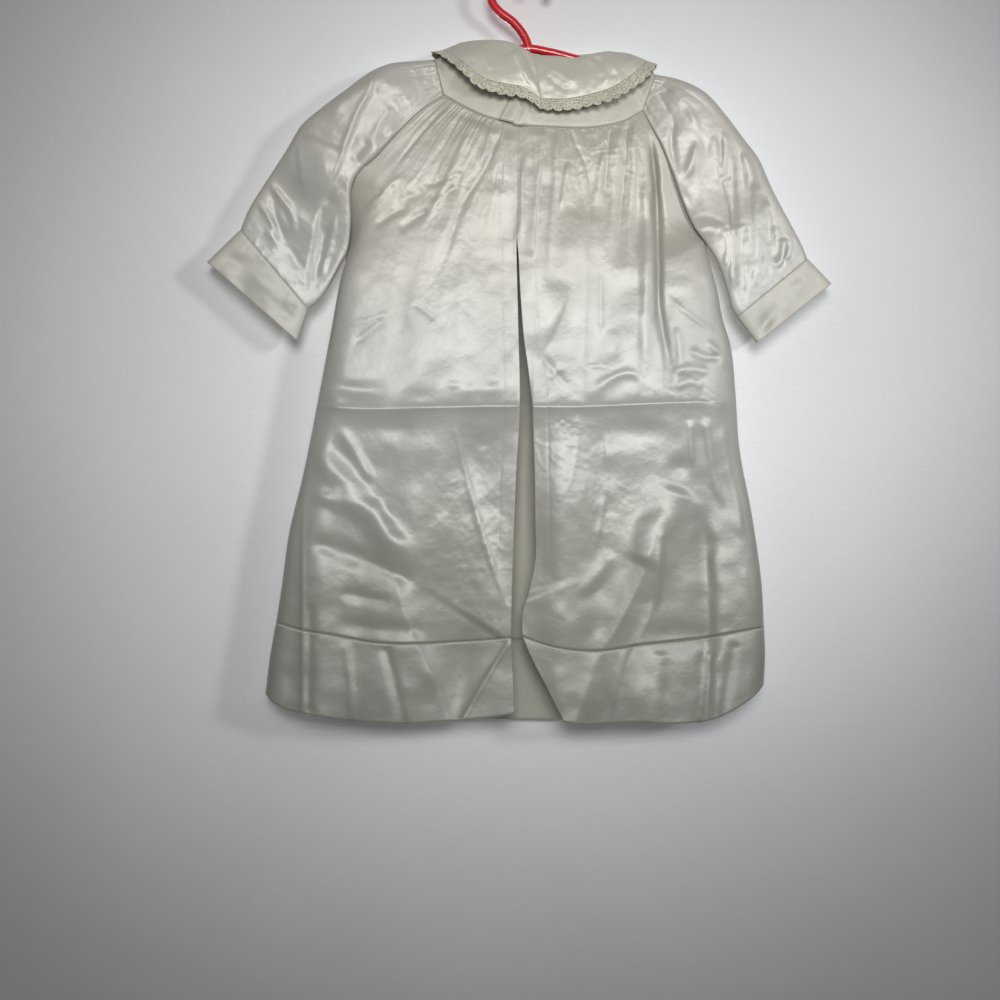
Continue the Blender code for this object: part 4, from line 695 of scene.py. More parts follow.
def cloth(name, grid, wall, material, node, close=False, weld_rows=(), skip=None, slot="satin", face="tube"):
    """A sheet of cloth with a real thickness, on its own CAD node's place."""
    rows, cols = grid.shape[:2]
    index = np.arange(rows * cols).reshape(rows, cols)
    welded = np.zeros(rows, bool)
    welded[list(weld_rows)] = True
    if close:
        welded[:] = True
    index[welded, -1] = index[welded, 0]
    quads = np.stack([index[:-1, :-1], index[:-1, 1:], index[1:, 1:], index[1:, :-1]], -1)
    if skip is not None:
        quads = quads[~skip]
    quads = quads.reshape(-1, 4)
    used, flat = np.unique(quads, return_inverse=True)
    quads = flat.reshape(-1, 4)
    points = grid.reshape(-1, 3)[used]
    mesh = bpy.data.meshes.new(name)
    mesh.vertices.add(len(points))
    mesh.vertices.foreach_set("co", points.ravel())
    mesh.loops.add(quads.size)
    mesh.loops.foreach_set("vertex_index", quads.ravel())
    mesh.polygons.add(len(quads))
    mesh.polygons.foreach_set("loop_start", np.arange(0, quads.size, 4))
    mesh.polygons.foreach_set("loop_total", np.full(len(quads), 4))
    cells = np.stack(np.meshgrid(np.arange(rows - 1), np.arange(cols - 1), indexing="ij"), -1)
    cells = cells[~skip] if skip is not None else cells.reshape(-1, 2)
    corner = np.array([(0, 0), (0, 1), (1, 1), (1, 0)])
    uv = (cells[:, None, :] + corner[None]) / (rows - 1.0, cols - 1.0)
    grain = mesh.uv_layers.new(name="grain")
    grain.data.foreach_set("uv", np.ascontiguousarray(uv[..., ::-1]).ravel())
    mesh.update(calc_edges=True)
    bm = bmesh.new()
    bm.from_mesh(mesh)
    bmesh.ops.recalc_face_normals(bm, faces=bm.faces)
    # the satin's right side faces out
    outward = 0.0
    for f in bm.faces:
        at = f.calc_center_median()
        if face == "tube":
            mid = grid[min(len(grid) - 1, f.index // (cols - 1))].mean(axis=0)
            way = Vector((at.x - mid[0], at.y - mid[1], at.z - mid[2]))
        elif face == "neck":
            way = Vector((at.x - 0.015, at.y * 3.0, 0.0))
        else:
            way = Vector((0.0, -1.0 if face == "front" else 1.0, 0.0))
        outward += f.normal.dot(way) * f.calc_area()
    if outward < 0:
        bmesh.ops.reverse_faces(bm, faces=bm.faces)
    bm.to_mesh(mesh)
    bm.free()
    mesh.polygons.foreach_set("use_smooth", np.ones(len(mesh.polygons), bool))
    mesh.materials.append(material)
    if slot == "satin":
        mesh.materials.append(INSIDE)
    ob = bpy.data.objects.new(name, mesh)
    bpy.context.scene.collection.objects.link(ob)
    shell = ob.modifiers.new("thickness", "SOLIDIFY")
    if slot == "satin":
        shell.material_offset = 1
    shell.thickness = wall
    shell.offset = 0.0
    shell.use_even_offset = False
    shell.use_quality_normals = True
    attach(ob, "root")
    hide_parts(node)
    return ob


# ---- materials -----------------------------------------------------------------------------------------------------------
class Nodes:
    def __init__(self, name):
        self.mat = bpy.data.materials.new(name)
        self.mat.use_nodes = True
        self.tree = self.mat.node_tree
        self.shader = self.tree.nodes["Principled BSDF"]

    def new(self, kind, **sets):
        node = self.tree.nodes.new(kind)
        for key, value in sets.items():
            if key[0].isupper() or key == "inputs":
                node.inputs[key.replace("_", " ")].default_value = value
            else:
                setattr(node, key, value)
        return node

    def link(self, a, b):
        self.tree.links.new(a, b)

    def coords(self, scale):
        coord = self.new("ShaderNodeTexCoord")
        mapping = self.new("ShaderNodeMapping")
        mapping.inputs["Scale"].default_value = scale
        self.link(coord.outputs["Object"], mapping.inputs["Vector"])
        return mapping.outputs["Vector"]

    def noise(self, scale, detail=3.0, rough=0.5, vec=(1, 1, 1)):
        n = self.new("ShaderNodeTexNoise")
        n.inputs["Scale"].default_value = scale
        n.inputs["Detail"].default_value = detail
        n.inputs["Roughness"].default_value = rough
        self.link(self.coords(vec), n.inputs["Vector"])
        return n.outputs["Fac"]

    def ramp(self, value, *stops):
        r = self.new("ShaderNodeValToRGB")
        el = r.color_ramp.elements
        while len(el) < len(stops):
            el.new(0.5)
        for e, (at, colour) in zip(el, stops):
            e.position = at
            e.color = (*colour, 1.0) if len(colour) == 3 else colour
        self.link(value, r.inputs["Fac"])
        return r.outputs["Color"]

    def mix(self, fac, a, b, blend="MIX"):
        m = self.new("ShaderNodeMix", data_type="RGBA", blend_type=blend)
        if isinstance(fac, (int, float)):
            m.inputs["Factor"].default_value = fac
        else:
            self.link(fac, m.inputs["Factor"])
        for value, socket in ((a, m.inputs["A"]), (b, m.inputs["B"])):
            if isinstance(value, tuple):
                socket.default_value = (*value, 1.0)
            else:
                self.link(value, socket)
        return m.outputs["Result"]

    def span(self, value, a, b, c, d):
        m = self.new("ShaderNodeMapRange")
        for key, x in (("From Min", a), ("From Max", b), ("To Min", c), ("To Max", d)):
            m.inputs[key].default_value = x
        self.link(value, m.inputs["Value"])
        return m.outputs["Result"]

    def bump(self, height, distance, strength=1.0, below=None):
        b = self.new("ShaderNodeBump")
        b.inputs["Distance"].default_value = distance
        b.inputs["Strength"].default_value = strength
        self.link(height, b.inputs["Height"])
        if below is not None:
            self.link(below, b.inputs["Normal"])
        return b.outputs["Normal"]


def satin(name, base=(0.350, 0.347, 0.318), warm=(0.385, 0.345, 0.272), aged=0.8, rough=(0.44, 0.50), lower=(0.77, 0.765, 0.725)):
    n = Nodes(name)
    s = n.shader
    tone = n.ramp(n.noise(7.0, 3.0), (0.35, tuple(c * 0.97 for c in base)), (0.65, tuple(min(1, c * 1.03) for c in base)))
    coord = n.new("ShaderNodeTexCoord")
    split = n.new("ShaderNodeSeparateXYZ")
    n.link(coord.outputs["Object"], split.inputs["Vector"])
    high = n.span(split.outputs["Z"], -0.30, -0.15, 0.0, 1.0)
    patch = n.ramp(n.noise(14.0, 4.0, 0.6), (0.30, (0.45, 0.45, 0.45)), (0.62, (1, 1, 1)))
    stain = n.new("ShaderNodeMath", operation="MULTIPLY")
    n.link(high, stain.inputs[0])
    n.link(patch, stain.inputs[1])
    weak = n.new("ShaderNodeMath", operation="MULTIPLY")
    n.link(stain.outputs[0], weak.inputs[0])
    weak.inputs[1].default_value = aged
    # painted shade: the base colour is multiplied by the lower factor from z -0.37 down to -0.52, below the storage
    # fold, standing in for the light falling off towards the hem; its slight yellow cast is the cloth's own
    low = n.span(split.outputs["Z"], -0.37, -0.52, 0.0, 1.0)
    painted_shade_low = n.mix(low, (1.0, 1.0, 1.0), lower)
    n.link(n.mix(1.0, n.mix(weak.outputs[0], tone, warm), painted_shade_low, "MULTIPLY"), s.inputs["Base Color"])
    n.link(n.span(n.noise(26.0, 3.0), 0.3, 0.7, rough[0], rough[1]), s.inputs["Roughness"])
    crumple = n.bump(n.noise(75.0, 3.0, 0.55), 0.0006, 0.35)
    fine = n.bump(n.noise(260.0, 2.0, 0.5), 0.00026, 0.5, crumple)
    slub = n.bump(n.noise(1.0, 2.0, 0.5, (1500.0, 1500.0, 160.0)), 0.00004, 0.6, fine)
    n.link(slub, s.inputs["Normal"])
    s.inputs["Metallic"].default_value = 0.12
    # satin's long floats run down the cloth: it shines in bands across them
    s.inputs["Anisotropic"].default_value = 0.65
    across = n.new("ShaderNodeTangent", direction_type="UV_MAP", uv_map="grain")
    n.link(across.outputs["Tangent"], s.inputs["Tangent"])
    s.inputs["Specular IOR Level"].default_value = 1.0
    s.inputs["Sheen Weight"].default_value = 0.10
    s.inputs["Sheen Roughness"].default_value = 0.35
    return n.mat


def wrong_side():
    """The inside of satin is matt; its paler base is partly painted light, standing in for light that comes through the
    thin satin into the open front.
    """
    n = Nodes("satin_inside")
    s = n.shader
    n.link(n.ramp(n.noise(9.0, 3.0), (0.3, (0.42, 0.41, 0.345)), (0.7, (0.47, 0.46, 0.39))), s.inputs["Base Color"])
    n.link(n.bump(n.noise(1.0, 2.0, 0.5, (1400.0, 1400.0, 500.0)), 0.00005, 0.6), s.inputs["Normal"])
    s.inputs["Roughness"].default_value = 0.7
    s.inputs["Sheen Weight"].default_value = 0.2
    return n.mat


def lace_material():
    n = Nodes("cream_lace")
    s = n.shader
    cell = n.new("ShaderNodeTexVoronoi", feature="DISTANCE_TO_EDGE")
    cell.inputs["Scale"].default_value = 480.0
    n.link(n.coords((1, 1, 1)), cell.inputs["Vector"])
    tone = n.ramp(n.noise(60.0, 3.0), (0.35, (0.50, 0.48, 0.39)), (0.7, (0.60, 0.58, 0.48)))
    # pale thread between the small openings of the net; the openings are painted darker, as painted shade seen through
    # them
    net = n.ramp(cell.outputs["Distance"], (0.06, (1.0, 1.0, 1.0)), (0.20, (0.60, 0.58, 0.52)))
    n.link(n.mix(1.0, tone, net, "MULTIPLY"), s.inputs["Base Color"])
    n.link(n.bump(cell.outputs["Distance"], 0.0004, 0.8), s.inputs["Normal"])
    s.inputs["Roughness"].default_value = 0.75
    s.inputs["Sheen Weight"].default_value = 0.2
    return n.mat


def thread_material():
    n = Nodes("seam_thread")
    n.link(n.ramp(n.noise(300.0, 2.0), (0.3, (0.50, 0.47, 0.38)), (0.7, (0.60, 0.57, 0.48))), n.shader.inputs["Base Color"])
    n.shader.inputs["Roughness"].default_value = 0.6
    return n.mat


def red_plastic():
    n = Nodes("red_plastic")
    s = n.shader
    n.link(n.ramp(n.noise(40.0, 3.0), (0.3, (0.50, 0.012, 0.018)), (0.7, (0.60, 0.018, 0.026))), s.inputs["Base Color"])
    n.link(n.span(n.noise(120.0, 2.0), 0.3, 0.7, 0.20, 0.32), s.inputs["Roughness"])
    n.link(n.bump(n.noise(260.0, 2.0), 0.0001, 0.3), s.inputs["Normal"])
    s.inputs["Coat Weight"].default_value = 0.2
    return n.mat


def wall_material():
    n = Nodes("white_wall")
    s = n.shader
    n.link(n.ramp(n.noise(5.0, 4.0), (0.3, (0.70, 0.71, 0.725)), (0.7, (0.74, 0.75, 0.765))), s.inputs["Base Color"])
    n.link(n.bump(n.noise(1.0, 4.0, 0.6, (60.0, 60.0, 260.0)), 0.0012, 0.5), s.inputs["Normal"])
    s.inputs["Roughness"].default_value = 0.9
    # seen from behind, the wall is not there
    geometry = n.new("ShaderNodeNewGeometry")
    clear = n.new("ShaderNodeBsdfTransparent")
    choose = n.new("ShaderNodeMixShader")
    out = n.tree.nodes["Material Output"]
    n.link(geometry.outputs["Backfacing"], choose.inputs["Fac"])
    n.link(s.outputs["BSDF"], choose.inputs[1])
    n.link(clear.outputs["BSDF"], choose.inputs[2])
    n.link(choose.outputs["Shader"], out.inputs["Surface"])
    return n.mat


SATIN = satin("ivory_satin")
# painted light: the collar, sleeve and band (cuffs and yoke) copies of the one satin have lighter base colours than the
# body's, painting in light these parts catch; the warmer tint of the collar and band is the cloth's own tone
SATIN_COLLAR = satin("ivory_satin_collar", base=(0.50, 0.488, 0.425), warm=(0.50, 0.465, 0.38), aged=0.5, rough=(0.44, 0.50))
SATIN_SLEEVE = satin("ivory_satin_sleeve", base=(0.42, 0.417, 0.388), warm=(0.445, 0.41, 0.345), aged=0.6, rough=(0.42, 0.48))
SATIN_BAND = satin("ivory_satin_band", base=(0.440, 0.432, 0.380), warm=(0.45, 0.41, 0.33), aged=0.6, rough=(0.52, 0.58))
INSIDE = wrong_side()
LACE = lace_material()
THREAD = thread_material()

# ---- build ---------------------------------------------------------------------------------------------------------------
QUICK = 1.0

U_FRONT = dense(int(160 * QUICK), (0.0, 0.06, 0.6))
V_FRONT = dense(int(290 * QUICK), (0.0, 0.10, 0.8), (0.565, 0.03, 1.0))
sheets = {}
for side, mirror, edge, table, seam_side, gather, hem_seam, hem_edge, hem_side, hem in (
    ("right", -1, EDGE_RIGHT, SLEEVE_RIGHT, SIDE_RIGHT, GATHER_RIGHT, HEM_SEAM_RIGHT, HEM_EDGE_RIGHT, HEM_SIDE_RIGHT, HEM_RIGHT),
    ("left", 1, EDGE_LEFT, SLEEVE_LEFT, SIDE_LEFT, GATHER_LEFT, HEM_SEAM_LEFT, HEM_EDGE_LEFT, HEM_SIDE_LEFT, HEM_LEFT),
):
    grid, s, deep = front_panel(edge, table, seam_side, gather, hem_seam, U_FRONT, V_FRONT, mirror)
    sheets["front_" + side] = grid
    gap = np.interp(V_FRONT, [0, 0.15, 0.22, 0.30, 0.38, 1], [0.00003, 0.00003, 0.0004, 0.0005, 0.0001, 0.0001])
    cloth("front_" + side + "_satin", pull_in(placed(grid), 0.00003, 0.00003, 0, gap), 0.0006, SATIN, "front_" + side, face="front")
    v = even(int(34 * QUICK))
    plane = hem_plane(grid[-1], hem_edge, hem_side, hem, s, v)
    col, row = plane[..., 0], plane[..., 1]
    inner = through(hem_edge, v)[:, 2:3]
    depth = inner + (depth_at(row, SIDE) - inner) * deep
    out = folds(col, row, FRONT_FOLDS) + creases(col, row, FRONT_CREASES) + dents(col, row, FRONT_DENTS)
    out = out + crumple(col, row, 3, 0.6 * crinkled(col, row))
    out = out * smooth((1 - s) * 9) - 1.6 * smooth((1 - s) * 4) * (1 - 0.8 * smooth((row - grid[-1][None, :, 1]) / 70))
    out = out - seam_dip(row - grid[-1][None, :, 1], 0.12, 1.2) + 0.15 * smooth((row - grid[-1][None, :, 1]) / 3 - 0.4)
    depth = depth - out
    depth[0] = grid[-1][:, 2]
    cloth(
        "hem_front_" + side + "_satin", pull_in(place(col, row, depth), 0.00003, 0, 0, 0.0001), 0.0010, SATIN, "hem_front_" + side, face="front"
    )
    sheets["hem_front_" + side] = np.dstack([plane, depth])

# Sleeves and cuffs
HALF = int(62 * QUICK)
AT = dense(int(140 * QUICK), (0.0, 0.12, 0.8), (1.0, 0.08, 0.5)) * (len(SLEEVE_RIGHT) - 1)
for side, table, crease_table, dent_table, end, cuff_dents, seed in (
    ("right", SLEEVE_RIGHT, SLEEVE_RIGHT_CREASES, SLEEVE_RIGHT_DENTS, CUFF_RIGHT_END, CUFF_RIGHT_DENTS, 31),
    ("left", SLEEVE_LEFT, SLEEVE_LEFT_CREASES, SLEEVE_LEFT_DENTS, CUFF_LEFT_END, CUFF_LEFT_DENTS, 47),
):
    grid, share = sleeve_grid(table, AT, HALF, crease_table, dent_table, seed)
    sheets["sleeve_" + side] = grid
    open_rows = int((AT < RAGLAN + 0.2).sum())
    gap = np.interp(AT[:open_rows], [0, 4, 6, 8], [0.00003, 0.00003, 0.0004, 0.0005])
    points = pull_in(placed(grid), 0.00003, 0.00003, gap, gap, slice(0, open_rows))
    cloth("sleeve_" + side + "_satin", points, 0.0006, SATIN_SLEEVE, "sleeve_" + side, weld_rows=range(open_rows, len(grid)))
    (uc, ur), (tc, tr) = end
    both = (1 - np.abs(2 * share[-1][: HALF + 1] - 1) ** 6.5) ** (1 / 6.5)
    run = share[-1][: HALF + 1]
    front = np.column_stack([uc + (tc - uc) * run, ur + (tr - ur) * run, -CUFF_FULL * both])
    last = np.vstack([front, front[::-1][1:] * [1, 1, -1]])
    v = even(int(30 * QUICK))
    cuff = np.array([grid[-1] + (last - grid[-1]) * a for a in v])
    col, row = cuff[..., 0], cuff[..., 1]
    turned = np.where(np.arange(cuff.shape[1]) <= HALF, 1.0, -1.0)[None]
    out = dents(col, row, cuff_dents) + 0.45 * noise(col, row + turned * 200, 16, seed + 9) + 0.15 * noise(col, row, 7, seed + 8)
    out = out * smooth(np.minimum(run, 1 - run)[None, np.minimum(np.arange(cuff.shape[1]), 2 * HALF - np.arange(cuff.shape[1]))] * 8) * smooth(v[:, None] * 3)
    out = out + 0.2 * smooth(v[:, None] * 10) - seam_dip(v[:, None] * 46, 0.12, 1.2)
    cuff[..., 2] -= turned * out
    cloth("cuff_" + side + "_satin", pull_in(placed(cuff), 0.00003), 0.0011, SATIN_BAND, "cuff_" + side, close=True)
    sheets["cuff_" + side] = cuff

# Back and its hem
u = even(int(150 * QUICK))
c = 2 * u - 1
v = dense(int(150 * QUICK), (0.0, 0.10, 0.8))
upper, lower = v <= 0.30 + 1e-9, v > 0.30 + 1e-9
k = np.where(upper, v / 0.30 * RAGLAN, RAGLAN + (v - 0.30) / 0.70 * 11)
left, right = np.zeros((len(v), 3)), np.zeros((len(v), 3))
for target, table, side in ((left, SLEEVE_RIGHT, SIDE_RIGHT), (right, SLEEVE_LEFT, SIDE_LEFT)):
    target[upper] = sections(table, k[upper])[:, 5:8]
    target[lower, :2] = through(side, (v[lower] - 0.30) / 0.70)
    target[lower, 2] = depth_at(target[lower, 1], SIDE)
turn = smooth((k - 5) / 4.0)[:, None]
across, round_d = corner_shape(np.abs(c))
back_s = (1 - turn) * u + turn * (0.5 + 0.5 * np.sign(c) * across)
back_d = (1 - turn) * np.abs(c) ** 2.2 + turn * round_d
plane = coons(left, right, lambda t: through(GATHER_BACK, t), lambda t: through(BACK_HEM_SEAM, t), back_s, v)
col, row = plane[..., 0], plane[..., 1]
middle = depth_at(row, BACK)
depth = middle + (np.where(c < 0, left[:, 2:3], right[:, 2:3]) - middle) * back_d
top = through(GATHER_BACK, back_s[0])
down = np.hypot(col - top[None, :, 0], row - top[None, :, 1])
inside = 1 - np.abs(2 * back_s - 1)
out = folds(col, row, BACK_FOLDS) * smooth(v[:, None] * 5) + creases(col, row, BACK_CREASES) * smooth(down / 10) + dents(col, row, BACK_DENTS)
out = (out + crumple(col, row, 113, 0.7 * crinkled(col, row)) + 0.7 * fold_ridge(row, 405.0)) * smooth(inside * 6)
out = out + gathers(back_s, down, [(40, 0.55, 24), (22, 0.75, 50), (9, 0.8, 110)], 61) * smooth(down / 3) * smooth(inside * 14)
seam = through(BACK_HEM_SEAM, back_s[-1])
out = out - seam_dip(down, 0.15, 1.2) - seam_dip(row - seam[None, :, 1], 0.12, 1.2)
back = np.dstack([plane, depth + out])
gap = np.interp(v, [0, 0.15, 0.22, 0.30, 0.38, 1], [0.00003, 0.00003, 0.0004, 0.0005, 0.0001, 0.0001])
cloth("back_satin", pull_in(placed(back), 0.00003, 0.00003, gap, gap), 0.0006, SATIN, "back", face="back")
v = even(int(26 * QUICK))
s = back_s[-1]
plane = hem_plane(back[-1], HEM_SIDE_RIGHT, HEM_SIDE_LEFT, BACK_HEM, s, v)
col, row = plane[..., 0], plane[..., 1]
middle = depth_at(row, BACK)
depth = middle + (depth_at(row, SIDE) - middle) * back_d[-1]
inside = 1 - np.abs(2 * s - 1)
out = (folds(col, row, BACK_FOLDS) + creases(col, row, BACK_CREASES) + dents(col, row, BACK_DENTS) + crumple(col, row, 113, 0.7 * crinkled(col, row))) * smooth(inside * 6)
out = out - seam_dip(row - seam[None, :, 1], 0.12, 1.2) + 0.15 * smooth((row - seam[None, :, 1]) / 3 - 0.4)
depth = depth + out
depth[0] = back[-1][:, 2]
cloth("hem_back_satin", pull_in(place(col, row, depth), 0.00003, 0, 0.0001, 0.0001), 0.0010, SATIN, "hem_back", face="back")

# Yoke
runs = [
    (sheets["front_right"][0], NECK_FRONT_RIGHT),
    (sheets["sleeve_right"][0], NECK_SHOULDER_RIGHT),
    (back[0], NECK_BACK),
    (sheets["sleeve_left"][0][::-1], NECK_SHOULDER_LEFT),
    (np.vstack([sheets["front_left"][0][::-1], through(np.vstack([sheets["front_left"][0][0], YOKE_TAB]), even(14)[1:])]), NECK_FRONT_LEFT),
]
low, high = [], []
for n, (edge, neck) in enumerate(runs):
    size = np.concatenate([[0], np.cumsum(np.linalg.norm(np.diff(edge, axis=0), axis=1))])
    top = through(neck, size / size[-1])
    low += list(edge[1:] if n else edge)
    high += list(top[1:] if n else top)
low, high = np.array(low), np.array(high)
total = np.concatenate([[0], np.cumsum(np.linalg.norm(np.diff(low, axis=0), axis=1))])
pick = np.linspace(0, total[-1], int(420 * QUICK) + 1)
low = np.stack([np.interp(pick, total, low[:, i]) for i in range(3)], -1)
high = np.stack([np.interp(pick, total, high[:, i]) for i in range(3)], -1)
tail = total[-1] - pick
lap = smooth((34 - tail) / 12)
low[:, 2] = low[:, 2] * (1 - lap) + np.minimum(low[:, 2], -23.0) * lap
v = even(int(22 * QUICK))
yoke = np.array([high + (low - high) * a for a in v])
col, row = yoke[..., 0], yoke[..., 1]
face = np.where(yoke[..., 2] < 0, 1.0, -1.0)
swell = 0.35 * np.sin(math.pi * v)[:, None] + 0.35 * noise(col, row, 24, 71) + 0.15 * noise(col, row, 9, 72)
yoke[..., 2] -= face * (swell * smooth(v[:, None] * 4) * smooth(np.abs(yoke[..., 2]) / 6)) + face * 0.3 * smooth(v[:, None] * 5) - face * 0.25 * seam_dip((1 - v[:, None]) * 60, 1.0, 1.5)
cloth("neck_yoke_satin", pull_in(placed(yoke), 0.0, 0.00003), 0.0008, SATIN_BAND, "neck_yoke", face="neck")

# Collar halves: kind, height, width, fades, path
COLLAR_CREASES = [
    ("s", 2.0, (1.4, 10.0), (0.05, 0.1), [(519, 48), (524, 60), (532, 76), (540, 92), (543, 104)]),
    ("r", 1.2, 2.2, (0.1, 0.2), [(514, 50), (521, 66), (532, 86)]),
    ("r", -1.0, 2.4, (0.2, 0.2), [(524, 52), (530, 66), (536, 80)]),
    ("r", 0.8, 4.0, (0.2, 0.2), [(478, 45), (486, 58), (492, 72)]),
    ("r", -0.8, 4.0, (0.2, 0.2), [(462, 46), (468, 54), (474, 66)]),
    ("r", 2.0, 3.0, (0.1, 0.15), [(578, 58), (588, 60), (598, 66), (606, 78), (608, 86)]),
    ("r", 2.0, 3.0, (0.1, 0.15), [(594, 52), (604, 58), (614, 68), (620, 80), (617, 86)]),
    ("r", -2.2, 2.6, (0.1, 0.15), [(588, 54), (598, 61), (608, 70), (613, 80)]),
    ("r", 1.0, 3.0, (0.2, 0.2), [(548, 66), (562, 74), (576, 84)]),
    ("r", -0.9, 3.0, (0.2, 0.2), [(546, 74), (556, 84), (570, 92)]),
    ("r", 0.8, 3.0, (0.2, 0.2), [(626, 58), (634, 66), (640, 76)]),
]
SCALLOPS = {"right": 27, "left": 27}
for side, table, seed in (("right", COLLAR_RIGHT, 81), ("left", COLLAR_LEFT, 91)):
    n_along = int(190 * QUICK)
    f = even(n_along)
    t = np.array(table, float)
    if side == "left":  # its front end tucks in behind the other half
        t[0, ::3] -= 3.6
        t[0, 2::3] += (0.9, 1.2, 1.3, 1.3)
    seam, roll, edge, lace = (through(t[:, 3 * n : 3 * n + 3], f) for n in range(4))
    rows = []
    v = even(int(46 * QUICK))
    for a in v:
        if a < 0.2:
            b = a / 0.2
            rows.append(seam + (roll - seam) * b)
        else:
            b = (a - 0.2) / 0.8
            bulge = np.zeros_like(roll)
            bulge[:, 2] = np.sign(edge[:, 2]) * 2.5 * math.sin(math.pi * b)
            rows.append(roll + (edge - roll) * b + bulge)
    grid = np.array(rows)
    # the roll is round, not a ridge
    for _ in range(int(10 * QUICK * QUICK) + 2):
        grid[1:-1] = grid[1:-1] * 0.5 + (grid[:-2] + grid[2:]) * 0.25
    col, row = grid[..., 0], grid[..., 1]
    front = smooth(-grid[..., 2] / 8)
    fall = smooth((v[:, None] - 0.12) * 5)
    out = (creases(col, row, COLLAR_CREASES) + 0.5 * noise(col, row, 13, seed) + 0.2 * noise(col, row, 6, seed + 1)) * fall * front
    out = out + 0.5 * noise(col, row, 13, seed + 2) * fall * (1 - front) * np.sign(-grid[..., 2])
    grid[..., 2] -= out
    cloth("collar_" + side + "_satin", pull_in(placed(grid), 0, 0.0001), 0.0008, SATIN_COLLAR, "collar_" + side, face="neck")
    # lace: a scalloped band with rows of eyelets
    n_scallop, per, down_n = SCALLOPS[side], int(20 * (1)), 12
    f = even(n_scallop * per)
    edge = through(np.array([grid[-1][int(round(x))] for x in np.linspace(0, grid.shape[1] - 1, 60)]), f)
    size = np.concatenate([[0], np.cumsum(np.linalg.norm(np.diff(through(t[:, 9:12], f), axis=0), axis=1))])
    lace = through(t[:, 9:12], f)
    where = np.arange(len(f)) / per
    lobe = np.abs(np.sin(math.pi * where)) ** 0.62
    far = 0.80 + 0.24 * lobe + 0.05 * noise(where * 3, where * 0, 1.0, seed + 4)
    ripple = np.sin(2 * math.pi * where) * 0.35 + 0.9 * noise(where * 0.8, where * 0, 1.0, seed + 5)
    rows = []
    for a in even(down_n):
        p = edge + (lace - edge) * (a * far)[:, None]
        p[:, 2] += np.sign(lace[:, 2]) * ripple * a
        rows.append(p)
    grid = np.array(rows)
    i, j = np.meshgrid(np.arange(down_n), np.arange(n_scallop * per), indexing="ij")
    q = (j % per) / per
    ring = ((i == 2) & (j % 5 == 2)) | ((i == 5) & (j % 5 == 0))
    fan = ((i == 8) | (i == 9)) & (np.abs(np.abs(q - 0.5 + 0.5 / per) - (0.12 + 0.06 * (i - 8))) < 0.6 / per)
    cloth("lace_" + side + "_trim", pull_in(placed(grid), 0.0001), 0.0006, LACE, "lace_" + side, skip=ring | fan, slot="lace", face="neck")


# ---- hanger --------------------------------------------------------------------------------------------------------------
def tube(path, radius, sides=28, round_end=(True, True)):
    """Rings round a path, with domed ends."""
    p = np.asarray(path, float)
    tangent = np.gradient(p, axis=0)
    tangent /= np.linalg.norm(tangent, axis=1, keepdims=True)
    side = np.array([0.0, 1.0, 0.0])
    rings = []
    for x, t in zip(p, tangent):
        a = np.cross(t, side)
        a /= np.linalg.norm(a)
        angle = np.arange(sides) * 2 * math.pi / sides
        rings.append((x, t, a, angle))
    points, faces = [], []

    def ring(x, t, a, angle, r, shift):
        base = len(points)
        for g in angle:
            points.append(tuple(x + t * shift + (a * math.cos(g) + side * math.sin(g)) * r))
        return base

    bases = []
    if round_end[0]:
        x, t, a, angle = rings[0]
        for q in (0.98, 0.85, 0.6, 0.3):
            bases.append(ring(x, t, a, angle, radius * math.sqrt(1 - q * q), -radius * q))
    for x, t, a, angle in rings:
        bases.append(ring(x, t, a, angle, radius, 0.0))
    if round_end[1]:
        x, t, a, angle = rings[-1]
        for q in (0.3, 0.6, 0.85, 0.98):
            bases.append(ring(x, t, a, angle, radius * math.sqrt(1 - q * q), radius * q))
    for b0, b1 in zip(bases, bases[1:]):
        for i in range(sides):
            j = (i + 1) % sides
            faces.append((b0 + i, b0 + j, b1 + j, b1 + i))
    faces.append(tuple(range(bases[0] + sides - 1, bases[0] - 1, -1)))
    faces.append(tuple(range(bases[-1], bases[-1] + sides)))
    return points, faces


def solid(name, shapes, material):
    mesh = bpy.data.meshes.new(name)
    points, faces = [], []
    for p, f in shapes:
        base = len(points)
        points += p
        faces += [tuple(i + base for i in face) for face in f]
    mesh.from_pydata(points, [], faces)
    bm = bmesh.new()
    bm.from_mesh(mesh)
    bmesh.ops.recalc_face_normals(bm, faces=bm.faces)
    bm.to_mesh(mesh)
    bm.free()
    mesh.polygons.foreach_set("use_smooth", np.ones(len(mesh.polygons), bool))
    mesh.materials.append(material)
    ob = bpy.data.objects.new(name, mesh)
    bpy.context.scene.collection.objects.link(ob)
    return ob


RED = red_plastic()
centre = np.array([0.0, 0.0, -(HOOK_R - HANGER_R)])
hook = [centre + HOOK_R * np.array([math.cos(math.radians(a)), 0.0, math.sin(math.radians(a))]) for a in np.linspace(HOOK_TIP_DEG, 180, 40)]
shank = placed(np.array([(a, b, 0.0) for a, b in SHANK]))
stem = through(np.vstack([hook[-1:], shank]), even(44))
rod = solid("hanger_hook_rod", [tube(np.vstack([hook[:-1], stem]), HANGER_R)], RED)
arms = solid("hanger_arms_rod", [tube(placed(through([(a, b, 0.0) for a, b in ARMS], even(90))), HANGER_R)], RED)
join = rod.modifiers.new("join", "BOOLEAN")
join.operation, join.solver, join.object = "UNION", "EXACT", arms
bpy.context.view_layer.update()
joined = bpy.data.meshes.new_from_object(rod.evaluated_get(bpy.context.evaluated_depsgraph_get()))
rod.modifiers.clear()
rod.data = joined
bpy.data.objects.remove(arms, do_unlink=True)
joined.polygons.foreach_set("use_smooth", np.ones(len(joined.polygons), bool))
rod.name = "hanger_rod"
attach(rod, "root")
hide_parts("hanger")

